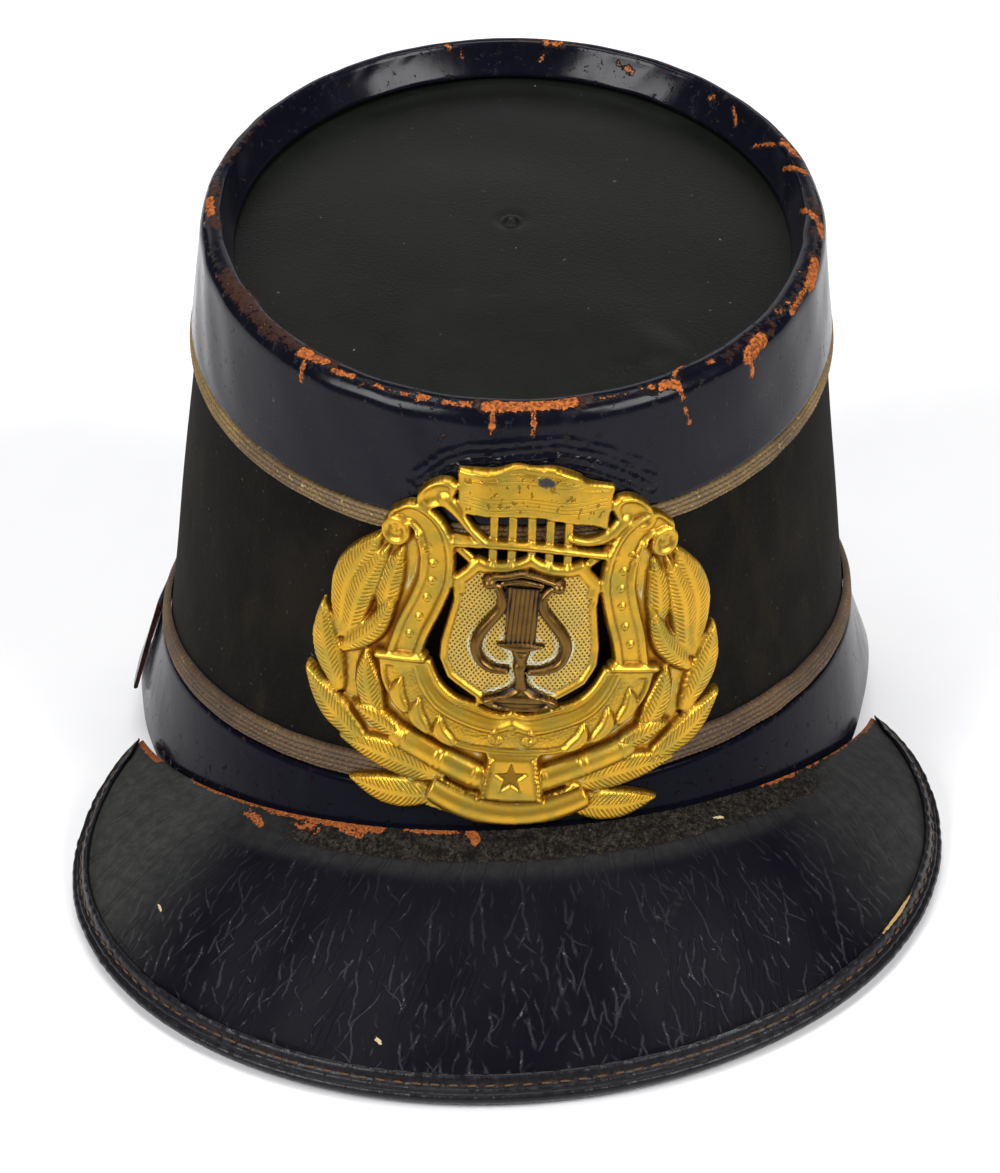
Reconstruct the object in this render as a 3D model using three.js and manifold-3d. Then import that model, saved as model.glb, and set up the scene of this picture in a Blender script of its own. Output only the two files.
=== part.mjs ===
// A shako hat: a tapered felt crown with a sunken leather top, two patent leather bands,
// two woven braids, a deep flared peak with a bound edge, and a stamped brass badge.
// Millimetres. X runs to the viewer's right, the front faces -Y, and Z is the height above
// the surface that the hat rests on. The origin is on that surface, below the hat's middle.

import * as THREE from 'three';
import { mergeVertices } from 'three/addons/utils/BufferGeometryUtils.js';
import Module from 'manifold-3d';

const wasm = await Module();
wasm.setup();

const degree = Math.PI / 180;

// Fit between pieces that touch
const clearance = 0.3;

// Felt crown, measured on its outer face
const baseHalfWidth = 85.0;
const baseHalfLength = 101.6;
const topHalfWidth = 70.4;
const topHalfLength = 79.2;
const baseFrontHeight = 24.8;
const topFrontHeight = 137.6;
const topBackHeight = 148.7;
const topRightDrop = 2.7;
const topShiftRight = 7.2;
const topShiftBack = 2.0;
const feltWall = 2.5;

// Leather top: a disc sunk inside the rim, with a small pip at its centre
const rimWidth = 6.5;
const rimDrop = 8.0;
const discLeather = 2.2;
const discCrown = 2.4;
const pipRadius = 2.2;
const pipHeight = 0.9;
const pipShiftBack = 6.0;

// Patent leather bands
const bandLeather = 1.3;
const foldRadius = 1.6;
const topBandHeight = 26.2;
const lowerBandHeight = 24.7;
const lowerBandFlare = 2.0;
const lowerBandSideFlare = 2.2;
const sideFlareTurn = 108 * degree;
const sideFlareSpread = 32 * degree;
const lapTurn = -95 * degree;
const lapLength = 17 * degree;
const lapRamp = 10 * degree;

// Woven braids
const upperBraidWidth = 4.5;
const upperBraidThickness = 1.5;
const lowerBraidWidth = 6.0;
const lowerBraidThickness = 1.8;

// Peak: its edge is half an oval in front of the crown, drawn in towards the two corners
const peakHalfWidth = 103.2;
const peakReach = 94.0;
const peakForward = 52.7;
const peakTuck = 65.0;
const peakShiftRight = -2.0;
const peakSweep = 115 * degree;
const peakRootSweep = 78 * degree;
const peakRise = 17.4;
const peakCornerDrop = 3.0;
const peakCornerLift = 9.0;
const peakLeftLift = 3.2;
const peakBulge = 3.4;
const peakLeather = 2.0;
const bindingWidth = 5.4;
const bindingLeather = 0.9;

// Badge, placed by the centre of its shield
const badgeCentreHeight = 58.5;
const badgeShiftRight = 0.4;
const badgeTurn = 5.2 * degree;
const badgePlate = 0.9;
const badgeRelief = 1.9;
const badgeReachDown = 40;

// How finely round shapes are divided
const ringSteps = 48;
const peakSteps = 36;
const lowerBandCuts = 50;

const feltMaterial = new THREE.MeshStandardMaterial({ color: 0x1d1b17, roughness: 0.95, metalness: 0 });
const topMaterial = new THREE.MeshStandardMaterial({ color: 0x14150f, roughness: 0.6, metalness: 0 });
const patentMaterial = new THREE.MeshStandardMaterial({ color: 0x10111b, roughness: 0.25, metalness: 0 });
const braidMaterial = new THREE.MeshStandardMaterial({ color: 0x6d583c, roughness: 0.8, metalness: 0 });
const peakMaterial = new THREE.MeshStandardMaterial({ color: 0x121219, roughness: 0.4, metalness: 0 });
const bindingMaterial = new THREE.MeshStandardMaterial({ color: 0x17161a, roughness: 0.45, metalness: 0 });
const brassMaterial = new THREE.MeshStandardMaterial({ color: 0xc79a2a, roughness: 0.35, metalness: 1 });
const bronzeMaterial = new THREE.MeshStandardMaterial({ color: 0x6b4c2a, roughness: 0.45, metalness: 1 });

function mix(from, to, share) {
  return from + (to - from) * share;
}

function smooth(value) {
  const share = Math.min(Math.max(value, 0), 1);
  return share * share * (3 - 2 * share);
}

// Turns a list of points and triangles into one closed body with its faces pointing out
function closedGeometry(positions, index) {
  const loose = new THREE.BufferGeometry();
  loose.setAttribute('position', new THREE.Float32BufferAttribute(positions, 3));
  loose.setIndex(index);
  const merged = mergeVertices(loose, 1e-4);
  const corner = merged.getIndex().array;
  const point = (i) => new THREE.Vector3().fromBufferAttribute(merged.getAttribute('position'), i);
  const kept = [];
  let volume = 0;
  for (let i = 0; i < corner.length; i += 3) {
    const [a, b, c] = [corner[i], corner[i + 1], corner[i + 2]];
    if (a !== b && b !== c && c !== a) {
      kept.push(a, b, c);
      volume += point(a).dot(point(b).cross(point(c)));
    }
  }
  merged.setIndex(volume < 0 ? kept.reverse() : kept);
  return merged;
}

// Joins sections that follow each other. A loft that doesn't close on itself is given the
// triangles of its end faces, as places in a section and in the order of its points.
function loft(sections, ends = null) {
  const count = sections[0].length;
  const positions = sections.flat().flatMap((point) => [point.x, point.y, point.z]);
  const index = [];
  const spans = ends ? sections.length - 1 : sections.length;
  for (let i = 0; i < spans; i += 1) {
    const near = i * count;
    const far = ((i + 1) % sections.length) * count;
    for (let j = 0; j < count; j += 1) {
      const next = (j + 1) % count;
      index.push(near + j, far + j, near + next, near + next, far + j, far + next);
    }
  }
  for (const [a, b, c] of ends ?? []) {
    const last = (sections.length - 1) * count;
    index.push(a, b, c, last + c, last + b, last + a);
  }
  return closedGeometry(positions, index);
}

function flatOf(pairs) {
  return pairs.map(([x, y]) => new THREE.Vector2(x, y));
}

// End faces of a section with any outline, given as [x, y] pairs
function outlineEnds(pairs) {
  const flat = flatOf(pairs);
  const whole = THREE.ShapeUtils.area(flat);
  return THREE.ShapeUtils.triangulateShape(flat, []).map((face) => (
    THREE.ShapeUtils.area(face.map((i) => flat[i])) * whole > 0 ? face : [...face].reverse()
  ));
}

// End faces of a section that is an upper line followed by the lower line back again
function sheetEnds(count) {
  const faces = [];
  for (let j = 0; j + 1 < count / 2; j += 1) {
    faces.push([j, j + 1, count - 1 - j], [j + 1, count - 2 - j, count - 1 - j]);
  }
  return faces;
}

// A closed ring round the crown: section gives the points of its cross-section at each turn
function ringSolid(section) {
  const sections = [];
  for (let i = 0; i < ringSteps; i += 1) {
    sections.push(section((i / ringSteps) * 2 * Math.PI));
  }
  return loft(sections);
}

// Turn is measured from the front, positive towards the viewer's right
function baseHeight(turn) {
  return baseFrontHeight * (1 + Math.cos(turn)) / 2;
}

function topHeight(turn) {
  return mix(topFrontHeight, topBackHeight, (1 - Math.cos(turn)) / 2) - topRightDrop * Math.sin(turn);
}

function wallPoint(turn, share, out = 0) {
  const halfWidth = mix(baseHalfWidth, topHalfWidth, share) + out;
  const halfLength = mix(baseHalfLength, topHalfLength, share) + out;
  return new THREE.Vector3(
    share * topShiftRight + halfWidth * Math.sin(turn),
    share * topShiftBack - halfLength * Math.cos(turn),
    mix(baseHeight(turn), topHeight(turn), share),
  );
}

function aboveBase(turn, height, out) {
  return wallPoint(turn, height / (topHeight(turn) - baseHeight(turn)), out);
}

function belowRim(turn, drop, out) {
  return wallPoint(turn, 1 - drop / (topHeight(turn) - baseHeight(turn)), out);
}

// Underside of the rim where the top band slopes in over the felt, from its fold to its edge
const bandOut = clearance + bandLeather;
const rimUnderTop = { out: bandOut - 1.7 * foldRadius + 0.8 * bandLeather, drop: 0.3 * foldRadius + 0.6 * bandLeather };
const rimUnderEdge = { out: bandLeather - rimWidth, drop: rimDrop };

function rimUnderside(out) {
  const share = (out - rimUnderTop.out) / (rimUnderEdge.out - rimUnderTop.out);
  return mix(rimUnderTop.drop, rimUnderEdge.drop, share);
}

const feltTopDrop = rimUnderside(-feltWall) + 2 * clearance;

function crownBody() {
  const rows = [0, 0.35, 0.7, 1];
  return ringSolid((turn) => {
    const topShare = 1 - feltTopDrop / (topHeight(turn) - baseHeight(turn));
    const outer = rows.map((row) => wallPoint(turn, row * topShare, 0));
    const inner = rows.map((row) => wallPoint(turn, row * topShare, -feltWall)).reverse();
    return [...outer, ...inner];
  });
}

// The sunken disc, a crowned plate from its pip to the felt's inner face, flat below the middle
function crownTop() {
  const drop = rimDrop + 2 * clearance;
  const middle = belowRim(0, drop, 0).lerp(belowRim(Math.PI, drop, 0), 0.5);
  const backwards = belowRim(Math.PI, drop, 0).sub(middle).normalize();
  const centre = middle.addScaledVector(backwards, pipShiftBack);
  const flatShare = 0.5;
  return ringSolid((turn) => {
    const edge = belowRim(turn, drop, -feltWall - clearance);
    const span = edge.distanceTo(centre);
    const at = (share, rise) => {
      const point = centre.clone().lerp(edge, share);
      point.z += rise + discCrown * (1 - share * share);
      return point;
    };
    return [
      at(0, pipHeight),
      at(0.5 * pipRadius / span, 0.8 * pipHeight),
      at(pipRadius / span, 0),
      at(0.45, 0),
      at(0.8, 0),
      at(1, 0),
      at(1, -discLeather),
      at(flatShare, -discLeather),
      at(0, -discLeather - discCrown * flatShare * flatShare),
    ];
  });
}

// Patent leather: up the outside of the felt, over the rim and down onto the disc
function topBand() {
  const fold = { out: bandOut - 1.7 * foldRadius, drop: 0.3 * foldRadius };
  const edge = { out: -rimWidth, drop: rimDrop - 0.8 * bandLeather };
  const profile = [
    [bandOut, topBandHeight],
    [bandOut, 0.4 * topBandHeight],
    [bandOut, 1.4 * foldRadius],
    [bandOut - 0.35 * foldRadius, 0.35 * foldRadius],
    [bandOut - foldRadius, 0],
    [fold.out, fold.drop],
    [mix(fold.out, edge.out, 0.5), mix(fold.drop, edge.drop, 0.5)],
    [edge.out, edge.drop],
    [edge.out, rimDrop],
    [rimUnderEdge.out, rimUnderEdge.drop],
    [rimUnderTop.out, rimUnderTop.drop],
    [clearance, foldRadius + 0.6 * bandLeather],
    [clearance, topBandHeight],
  ];
  return ringSolid((turn) => profile.map(([out, drop]) => belowRim(turn, drop, out)));
}

// A flat woven braid with two raised ribs: across is a share of its width, out of its thickness
const braidSection = [
  { across: 0.0, out: 0.0 },
  { across: 0.06, out: 0.7 },
  { across: 0.27, out: 1.0 },
  { across: 0.5, out: 0.78 },
  { across: 0.73, out: 1.0 },
  { across: 0.94, out: 0.7 },
  { across: 1.0, out: 0.0 },
];

function upperBraid() {
  const start = topBandHeight + clearance;
  return ringSolid((turn) => braidSection.map(({ across, out }) => (
    belowRim(turn, start + across * upperBraidWidth, clearance + out * upperBraidThickness)
  )));
}

function lowerBraid() {
  const start = lowerBandHeight + clearance;
  return ringSolid((turn) => braidSection.map(({ across, out }) => (
    aboveBase(turn, start + across * lowerBraidWidth, clearance + out * lowerBraidThickness)
  )));
}

// How far the inner face of the lower band stands off the felt: its lower edge flares,
// more so at the two sides behind the corners of the peak
function lowerBandInside(turn, height) {
  const share = 1 - Math.min(Math.max(height / lowerBandHeight, 0), 1);
  const side = smooth(1 - Math.abs(Math.abs(turn) - sideFlareTurn) / sideFlareSpread);
  return clearance + share * (lowerBandFlare + side * lowerBandSideFlare);
}

// One strip with a lap at the viewer's left: the end that comes round the back lies outside
function lowerBand() {
  const start = lapTurn - lapLength;
  const end = lapTurn + 2 * Math.PI;
  const profile = [[0, 0], [0, 0.5], [0, 1], [1, 1], [1, 0.5], [1, 0]];
  const sections = [];
  for (let i = 0; i <= lowerBandCuts; i += 1) {
    const turn = mix(start, end, i / lowerBandCuts);
    const wrapped = turn > Math.PI ? turn - 2 * Math.PI : turn;
    const overLap = smooth((turn - (start + 2 * Math.PI)) / lapRamp + 1);
    const lift = overLap * (bandLeather + clearance);
    sections.push(profile.map(([out, up]) => {
      const height = up * lowerBandHeight;
      return aboveBase(wrapped, height, lowerBandInside(wrapped, height) + lift + out * bandLeather);
    }));
  }
  return loft(sections, sheetEnds(profile.length));
}

// The peak's corner at the viewer's left is bent up
function leftLift(sweep) {
  return peakLeftLift * smooth(-sweep / peakSweep);
}

// The raw upper edge of the peak laps over the lower band, highest at the front
function peakRoot(sweep) {
  const turn = sweep * peakRootSweep / peakSweep;
  const fall = (Math.abs(turn) / peakRootSweep) ** 2.2;
  const cornerHeight = leftLift(sweep) - peakCornerDrop;
  const height = mix(peakRise, cornerHeight, fall);
  const out = lowerBandInside(turn, height) + bandLeather + clearance + 0.8 * peakLeather;
  return aboveBase(turn, height, out);
}

function peakEdge(sweep, lift) {
  const reach = Math.cos(sweep) > 0 ? peakReach : peakTuck;
  const corner = smooth((Math.abs(sweep) / peakSweep - 0.7) / 0.3);
  return new THREE.Vector3(
    peakShiftRight + (peakHalfWidth - 0.5 * leftLift(sweep)) * Math.sin(sweep),
    -peakForward - reach * Math.cos(sweep),
    lift + corner * (peakCornerLift + leftLift(sweep)),
  );
}

// A point of the peak's upper face with its outward tangent and normal:
// share runs from the raw edge to the outer edge
function peakFace(sweep, share, lift) {
  const root = peakRoot(sweep);
  const chord = peakEdge(sweep, lift).sub(root);
  const length = chord.length();
  const level = Math.hypot(chord.x, chord.y);
  const rise = new THREE.Vector3(-chord.x * chord.z / level, -chord.y * chord.z / level, level).divideScalar(length);
  const bulge = peakBulge * Math.min(length / peakReach * 2, 1);
  const slope = bulge * Math.PI * Math.cos(Math.PI * share);
  const point = root.addScaledVector(chord, share).addScaledVector(rise, bulge * Math.sin(Math.PI * share));
  const tangent = chord.clone().addScaledVector(rise, slope).normalize();
  const normal = rise.clone().multiplyScalar(length).addScaledVector(chord, -slope / length).normalize();
  return { point, tangent, normal };
}

// The binding is folded over the edge: along is outwards, over is above the peak's upper face
const bindingProfile = [
  [-bindingWidth, clearance],
  [clearance, clearance],
  [clearance, -peakLeather - clearance],
  [-bindingWidth, -peakLeather - clearance],
  [-bindingWidth, -peakLeather - clearance - bindingLeather],
  [clearance, -peakLeather - clearance - bindingLeather],
  [clearance + 0.75 * bindingLeather, -peakLeather],
  [clearance + bindingLeather, -0.5 * peakLeather],
  [clearance + 0.75 * bindingLeather, 0],
  [clearance, clearance + bindingLeather],
  [-bindingWidth, clearance + bindingLeather],
];

// How high the edge has to lie for the binding's lowest line to touch the surface below
function edgeLift(sweep) {
  let lift = peakLeather;
  for (let pass = 0; pass < 3; pass += 1) {
    const { tangent, normal } = peakFace(sweep, 1, lift);
    const outside = bindingProfile.filter(([along]) => along > 0);
    lift = -Math.min(...outside.map(([along, over]) => along * tangent.z + over * normal.z));
  }
  return lift;
}

// Share of the way from the raw edge at which the binding begins, which never covers the
// short ends of the peak whole
function bindingStart(sweep, lift) {
  return Math.max(1 - bindingWidth / peakEdge(sweep, lift).distanceTo(peakRoot(sweep)), 0.45);
}

function sweeps() {
  return Array.from({ length: peakSteps + 1 }, (_, i) => mix(-peakSweep, peakSweep, i / peakSteps));
}

function peak() {
  const rows = [0, 0.1, 0.35, 0.68, 1];
  const sections = sweeps().map((sweep) => {
    const lift = edgeLift(sweep);
    const shares = [...rows.map((row) => row * bindingStart(sweep, lift)), 1];
    const faces = shares.map((share) => peakFace(sweep, share, lift));
    const upper = faces.map(({ point }) => point);
    const lower = faces.map(({ point, normal }) => point.clone().addScaledVector(normal, -peakLeather)).reverse();
    return [...upper, ...lower];
  });
  return loft(sections, sheetEnds(2 * (rows.length + 1)));
}

function peakBinding() {
  const sections = sweeps().map((sweep) => {
    const lift = edgeLift(sweep);
    const inside = peakFace(sweep, bindingStart(sweep, lift), lift);
    const outside = peakFace(sweep, 1, lift);
    return bindingProfile.map(([along, over]) => {
      const { point, tangent, normal } = along < 0 ? inside : outside;
      return point.clone().addScaledVector(tangent, Math.max(along, 0)).addScaledVector(normal, over);
    });
  });
  return loft(sections, outlineEnds(bindingProfile));
}

// Badge coordinates: across to the viewer's right and up the wall, both from the badge's centre
// and on its own turned axes; lift is the distance outwards from the badge's back
const badgeLowestHeight = badgeCentreHeight - badgeReachDown;
const badgeSeat = lowerBandInside(0, badgeLowestHeight) + bandLeather + clearance;

function badgePoint(across, up, lift) {
  const slant = Math.hypot(topHeight(0) - baseHeight(0), baseHalfLength - topHalfLength + topShiftBack);
  const share = badgeCentreHeight / (topHeight(0) - baseHeight(0))
    + (up * Math.cos(badgeTurn) - across * Math.sin(badgeTurn)) / slant;
  const arc = badgeShiftRight + across * Math.cos(badgeTurn) + up * Math.sin(badgeTurn);
  const halfWidth = mix(baseHalfWidth, topHalfWidth, share) + badgeSeat;
  const halfLength = mix(baseHalfLength, topHalfLength, share) + badgeSeat;
  const steps = 16;
  let turn = 0;
  for (let i = 0; i < steps; i += 1) {
    turn += arc / steps / Math.hypot(halfWidth * Math.cos(turn), halfLength * Math.sin(turn));
  }
  return wallPoint(turn, share, badgeSeat + lift);
}

// Sections of the badge's strips: side is a share of the half width, lift of the strip's height
const ridgeSection = [[-1, 0], [0, 1], [1, 0]];
const roundSection = [[-1, 0], [-0.85, 0.6], [0, 1], [0.85, 0.6], [1, 0]];
const channelSection = [[-1, 0], [-1, 1], [-0.6, 0.7], [0.6, 0.7], [1, 1], [1, 0]];
const flatSection = [[-1, 0], [-1, 1], [1, 1], [1, 0]];

// A strip along a path of [across, up] points, with a half width for each share of its length
function strip(path, halfWidth, section, back, height, steps) {
  const curve = new THREE.SplineCurve(flatOf(path));
  const sections = [];
  for (let i = 0; i <= steps; i += 1) {
    const share = i / steps;
    const at = curve.getPoint(share);
    const along = curve.getTangent(share);
    const half = halfWidth(share);
    sections.push(section.map(([side, lift]) => (
      badgePoint(at.x - along.y * side * half, at.y + along.x * side * half, back + lift * height)
    )));
  }
  return loft(sections, outlineEnds(section));
}

// A plate between a left and a right line: rows of { up, left, right }, divided across
function plate(rows, columns, back, height, crown = 0) {
  const sections = rows.map(({ up, left, right }) => {
    const upper = [];
    const lower = [];
    for (let j = 0; j <= columns; j += 1) {
      const share = j / columns;
      const across = mix(left, right, share);
      upper.push(badgePoint(across, up, back + height + crown * Math.sin(Math.PI * share)));
      lower.unshift(badgePoint(across, up, back));
    }
    return [...upper, ...lower];
  });
  return loft(sections, sheetEnds(2 * (columns + 1)));
}

function solidOf(geometry) {
  return new wasm.Manifold(new wasm.Mesh({
    numProp: 3,
    vertProperties: new Float32Array(geometry.getAttribute('position').array),
    triVerts: new Uint32Array(geometry.getIndex().array),
  }));
}

function joined(geometries) {
  const solids = geometries.map(solidOf);
  const whole = solids.reduce((sum, solid) => sum.add(solid));
  const mesh = whole.getMesh();
  const geometry = new THREE.BufferGeometry();
  geometry.setAttribute('position', new THREE.BufferAttribute(new Float32Array(mesh.vertProperties), 3));
  geometry.setIndex([...mesh.triVerts]);
  return geometry;
}

// Laurel leaves of the right half; the left half mirrors them. Columns: foot, tip, half width,
// how far the leaf bows sideways and its layer, counted from the back.
const leaves = [
  { footAcross: 41.0, footUp: -2.5, tipAcross: 33.0, tipUp: 22.6, half: 3.9, bow: 2.6, layer: 1 },
  { footAcross: 38.8, footUp: -2.6, tipAcross: 31.0, tipUp: 20.4, half: 3.0, bow: 1.4, layer: 2 },
  { footAcross: 31.0, footUp: 4.0, tipAcross: 27.8, tipUp: 21.0, half: 2.7, bow: 0.6, layer: 1 },
  { footAcross: 39.2, footUp: -6.0, tipAcross: 28.3, tipUp: 9.5, half: 2.4, bow: -1.6, layer: 3 },
  { footAcross: 40.5, footUp: -15.5, tipAcross: 46.1, tipUp: 2.4, half: 3.5, bow: 1.0, layer: 2 },
  { footAcross: 33.5, footUp: -26.0, tipAcross: 49.2, tipUp: -13.6, half: 3.3, bow: 0.8, layer: 3 },
  { footAcross: 30.0, footUp: -19.5, tipAcross: 34.0, tipUp: -4.8, half: 3.0, bow: 0.8, layer: 3 },
  { footAcross: 24.0, footUp: -22.6, tipAcross: 36.2, tipUp: -18.0, half: 2.3, bow: -0.6, layer: 4 },
  { footAcross: 16.6, footUp: -31.0, tipAcross: 38.3, tipUp: -27.6, half: 3.0, bow: -0.8, layer: 2 },
  { footAcross: 17.5, footUp: -36.0, tipAcross: 35.4, tipUp: -36.4, half: 2.8, bow: 0.6, layer: 1 },
];
const layerStep = 0.25;

function leaf({ footAcross, footUp, tipAcross, tipUp, half, bow, layer }, side) {
  const length = Math.hypot(tipAcross - footAcross, tipUp - footUp);
  const middle = [
    mix(footAcross, tipAcross, 0.5) + bow * (tipUp - footUp) / length,
    mix(footUp, tipUp, 0.5) - bow * (tipAcross - footAcross) / length,
  ];
  const path = [[footAcross, footUp], middle, [tipAcross, tipUp]].map(([across, up]) => [side * across, up]);
  const halfWidth = (share) => half * (0.12 + 0.88 * Math.sin(Math.PI * mix(0.22, 0.97, share)));
  return strip(path, halfWidth, ridgeSection, layer * layerStep, badgePlate + 0.4 * badgeRelief, 4);
}

// The sheet under the leaves, from below the lyre's arms and body out to the wreath: rows of
// [inner, outer] ends for the right half, from the bottom up. The badge isn't pierced here.
const groundRows = [
  [[0, -21.0], [0, -37.0]],
  [[9.0, -19.5], [12.0, -36.5]],
  [[16.0, -17.0], [22.0, -33.5]],
  [[21.5, -13.5], [31.5, -27.5]],
  [[25.2, -9.0], [38.5, -19.0]],
  [[26.5, -4.0], [42.0, -9.5]],
  [[24.3, 3.0], [42.3, 0.5]],
  [[21.8, 9.3], [39.5, 9.5]],
  [[20.6, 15.6], [36.5, 17.0]],
  [[21.2, 21.2], [32.5, 22.0]],
  [[24.5, 24.5], [29.5, 24.0]],
];

function wreathGround(side) {
  const columns = 2;
  const sections = groundRows.map(([inner, outer]) => {
    const upper = [];
    const lower = [];
    for (let j = 0; j <= columns; j += 1) {
      const across = side * mix(inner[0], outer[0], j / columns);
      const up = mix(inner[1], outer[1], j / columns);
      upper.push(badgePoint(across, up, badgePlate));
      lower.unshift(badgePoint(across, up, 0));
    }
    return [...upper, ...lower];
  });
  return loft(sections, sheetEnds(2 * (columns + 1)));
}

// The lyre's curled arms: a channelled band from the volute down to the boat-shaped body
function arm(side) {
  const path = [[29.5, 26.4], [26.5, 27.6], [22.6, 25.7], [20.4, 21.2], [20.3, 15.6], [21.6, 9.3], [24.1, 3.1], [26.2, -3.6]];
  const mirrored = path.map(([across, up]) => [side * across, up]);
  return strip(mirrored, (share) => mix(2.3, 3.3, smooth(share * 4)), channelSection, 0.1, badgePlate + badgeRelief, 11);
}

function volute(side) {
  const path = [[28.0, 24.0], [33.4, 24.0]].map(([across, up]) => [side * across, up]);
  const halfWidth = (share) => 0.4 + 2.4 * Math.sin(Math.PI * mix(0.08, 0.92, share));
  return strip(path, halfWidth, roundSection, 0.15, badgePlate + badgeRelief, 4);
}

function boatBody() {
  const right = [[26.7, -4.6], [24.9, -9.6], [21.1, -14.0], [15.4, -17.4], [8.0, -19.4]];
  const left = right.map(([across, up]) => [-across, up]).reverse();
  return strip([...right, [0, -19.9], ...left], () => 4.4, channelSection, 0.2, badgePlate + badgeRelief, 12);
}

function endCap(side) {
  const path = [[21.8, -3.6], [31.8, -4.9]].map(([across, up]) => [side * across, up]);
  return strip(path, () => 1.0, roundSection, 0.3, badgePlate + 1.1 * badgeRelief, 2);
}

function shield() {
  const rows = [
    { up: 22.2, half: 11.9 },
    { up: 20.4, half: 13.4 },
    { up: 16.0, half: 17.6 },
    { up: 11.0, half: 15.9 },
    { up: 4.2, half: 17.4 },
    { up: -1.0, half: 18.5 },
    { up: -6.3, half: 17.4 },
    { up: -10.3, half: 13.6 },
    { up: -13.0, half: 7.6 },
    { up: -16.5, half: 3.0 },
  ].map(({ up, half }) => ({ up, left: -half, right: half }));
  return plate(rows, 4, 0.05, badgePlate, 0.2);
}

function sheetOfMusic() {
  const rows = [
    { up: 30.2, left: -17.4, right: 17.6 },
    { up: 36.0, left: -17.8, right: 17.8 },
    { up: 41.2, left: -17.2, right: 16.6 },
  ];
  return plate(rows, 6, 0.35, badgePlate + 0.3 * badgeRelief, 0.4);
}

// Strings and the bar that they hang from
function stringBars() {
  const spacing = 4.15;
  const half = 0.8;
  const bars = [];
  for (let i = -2; i <= 2; i += 1) {
    const across = i * spacing - 0.6;
    bars.push(strip([[across, 22.8], [across, 31.2]], () => half, flatSection, 0.12, badgePlate, 1));
    if (i !== 0) {
      bars.push(strip([[across, 19.5], [across, 23.6]], () => half, flatSection, 0.17, badgePlate, 1));
    }
  }
  const crossbar = strip([[-18.6, 24.2], [0, 23.6], [18.6, 22.8]], () => 0.95, roundSection, 0.3, 1.2 * badgeRelief, 6);
  return [...bars, crossbar];
}

// Horns that cross behind the sheet of music, each with an open bell
function horn(side) {
  const tube = [[10.6, 25.2], [15.5, 28.0], [20.0, 32.0]].map(([across, up]) => [side * across, up]);
  const bell = [[26.2, 30.6], [22.6, 33.8], [18.8, 37.0]].map(([across, up]) => [side * across, up]);
  return [
    strip(tube, (share) => mix(1.0, 2.0, share), roundSection, 0.22, badgePlate + 0.6 * badgeRelief, 4),
    strip(bell, (share) => 0.5 + 2.0 * Math.sin(Math.PI * share), roundSection, 0.27, badgePlate + 0.8 * badgeRelief, 5),
  ];
}

// Batons below the body, joined by a buckled strap with a star, over a shallow tray
function baton(side) {
  const path = [[5.5, -30.2], [25.6, -23.6]].map(([across, up]) => [side * across, up]);
  return strip(path, () => 2.4, roundSection, 0.4, badgePlate + 1.15 * badgeRelief, 2);
}

function strap() {
  const rows = [
    { up: -33.6, left: -6.8, right: 6.8 },
    { up: -28.5, left: -6.2, right: 6.2 },
    { up: -22.5, left: -5.4, right: 5.4 },
  ];
  return plate(rows, 2, 0.45, badgePlate + badgeRelief, 0.3);
}

function star() {
  const shape = new THREE.Shape();
  const outer = 3.3;
  const inner = 1.4;
  for (let i = 0; i < 10; i += 1) {
    const reach = i % 2 ? inner : outer;
    const angle = (90 + i * 36) * degree;
    const [x, y] = [reach * Math.cos(angle), -28.6 + reach * Math.sin(angle)];
    if (i === 0) {
      shape.moveTo(x, y);
    } else {
      shape.lineTo(x, y);
    }
  }
  const geometry = new THREE.ExtrudeGeometry(shape, { depth: 1, bevelEnabled: false });
  const place = geometry.getAttribute('position');
  const positions = [];
  for (let i = 0; i < place.count; i += 1) {
    const lift = 0.6 + badgePlate + (1.1 + 0.35 * place.getZ(i)) * badgeRelief;
    const point = badgePoint(place.getX(i), place.getY(i), place.getZ(i) > 0.5 ? lift : 1);
    positions.push(point.x, point.y, point.z);
  }
  return closedGeometry(positions, [...positions.keys()].slice(0, place.count));
}

function tray() {
  const path = [[-18.2, -32.0], [-16.5, -35.8], [-9.0, -37.4], [0, -37.7], [9.0, -37.4], [16.5, -35.8], [18.2, -32.0]];
  return strip(path, () => 2.7, roundSection, 0.5, badgePlate + badgeRelief, 10);
}

function badgePlateSolid() {
  const sides = [1, -1];
  const wreath = sides.flatMap((side) => [wreathGround(side), ...leaves.map((row) => leaf(row, side))]);
  const lyreArms = sides.flatMap((side) => [arm(side), volute(side), endCap(side), baton(side), ...horn(side)]);
  const middle = [shield(), sheetOfMusic(), ...stringBars(), boatBody(), strap(), star(), tray()];
  return joined([...wreath, ...lyreArms, ...middle]);
}

// The small lyre is a casting of its own, set on the shield
function badgeLyre() {
  const back = 0.05 + badgePlate + 0.2 + clearance;
  const centre = -0.8;
  const height = 1.0;
  const arms = [1, -1].map((side) => {
    const path = [[7.2, 16.8], [5.2, 13.2], [6.2, 9.2], [9.2, 5.6], [9.9, 2.0], [8.0, -2.0], [2.6, -4.2]];
    const placed = path.map(([across, up]) => [centre + side * across, up]);
    return strip(placed, () => 1.15, roundSection, back, height, 8);
  });
  const bar = strip([[centre - 8.2, 16.6], [centre, 17.9], [centre + 8.2, 16.6]], () => 1.2, roundSection, back + 0.08, height, 6);
  const strings = strip([[centre, 1.6], [centre, 16.8]], () => 3.1, flatSection, back + 0.04, 0.7 * height, 3);
  const stem = strip([[centre, 2.4], [centre + 0.4, -3.0], [0, -8.8]], (share) => mix(2.6, 1.9, share), ridgeSection,
    back + 0.12, 1.1 * height, 3);
  const foot = strip([[-8.2, -10.8], [0, -10.8], [8.2, -10.8]], (share) => 0.5 + 2.0 * Math.sin(Math.PI * share),
    roundSection, back + 0.16, 1.1 * height, 6);
  return joined([...arms, bar, strings, stem, foot]);
}

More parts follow.
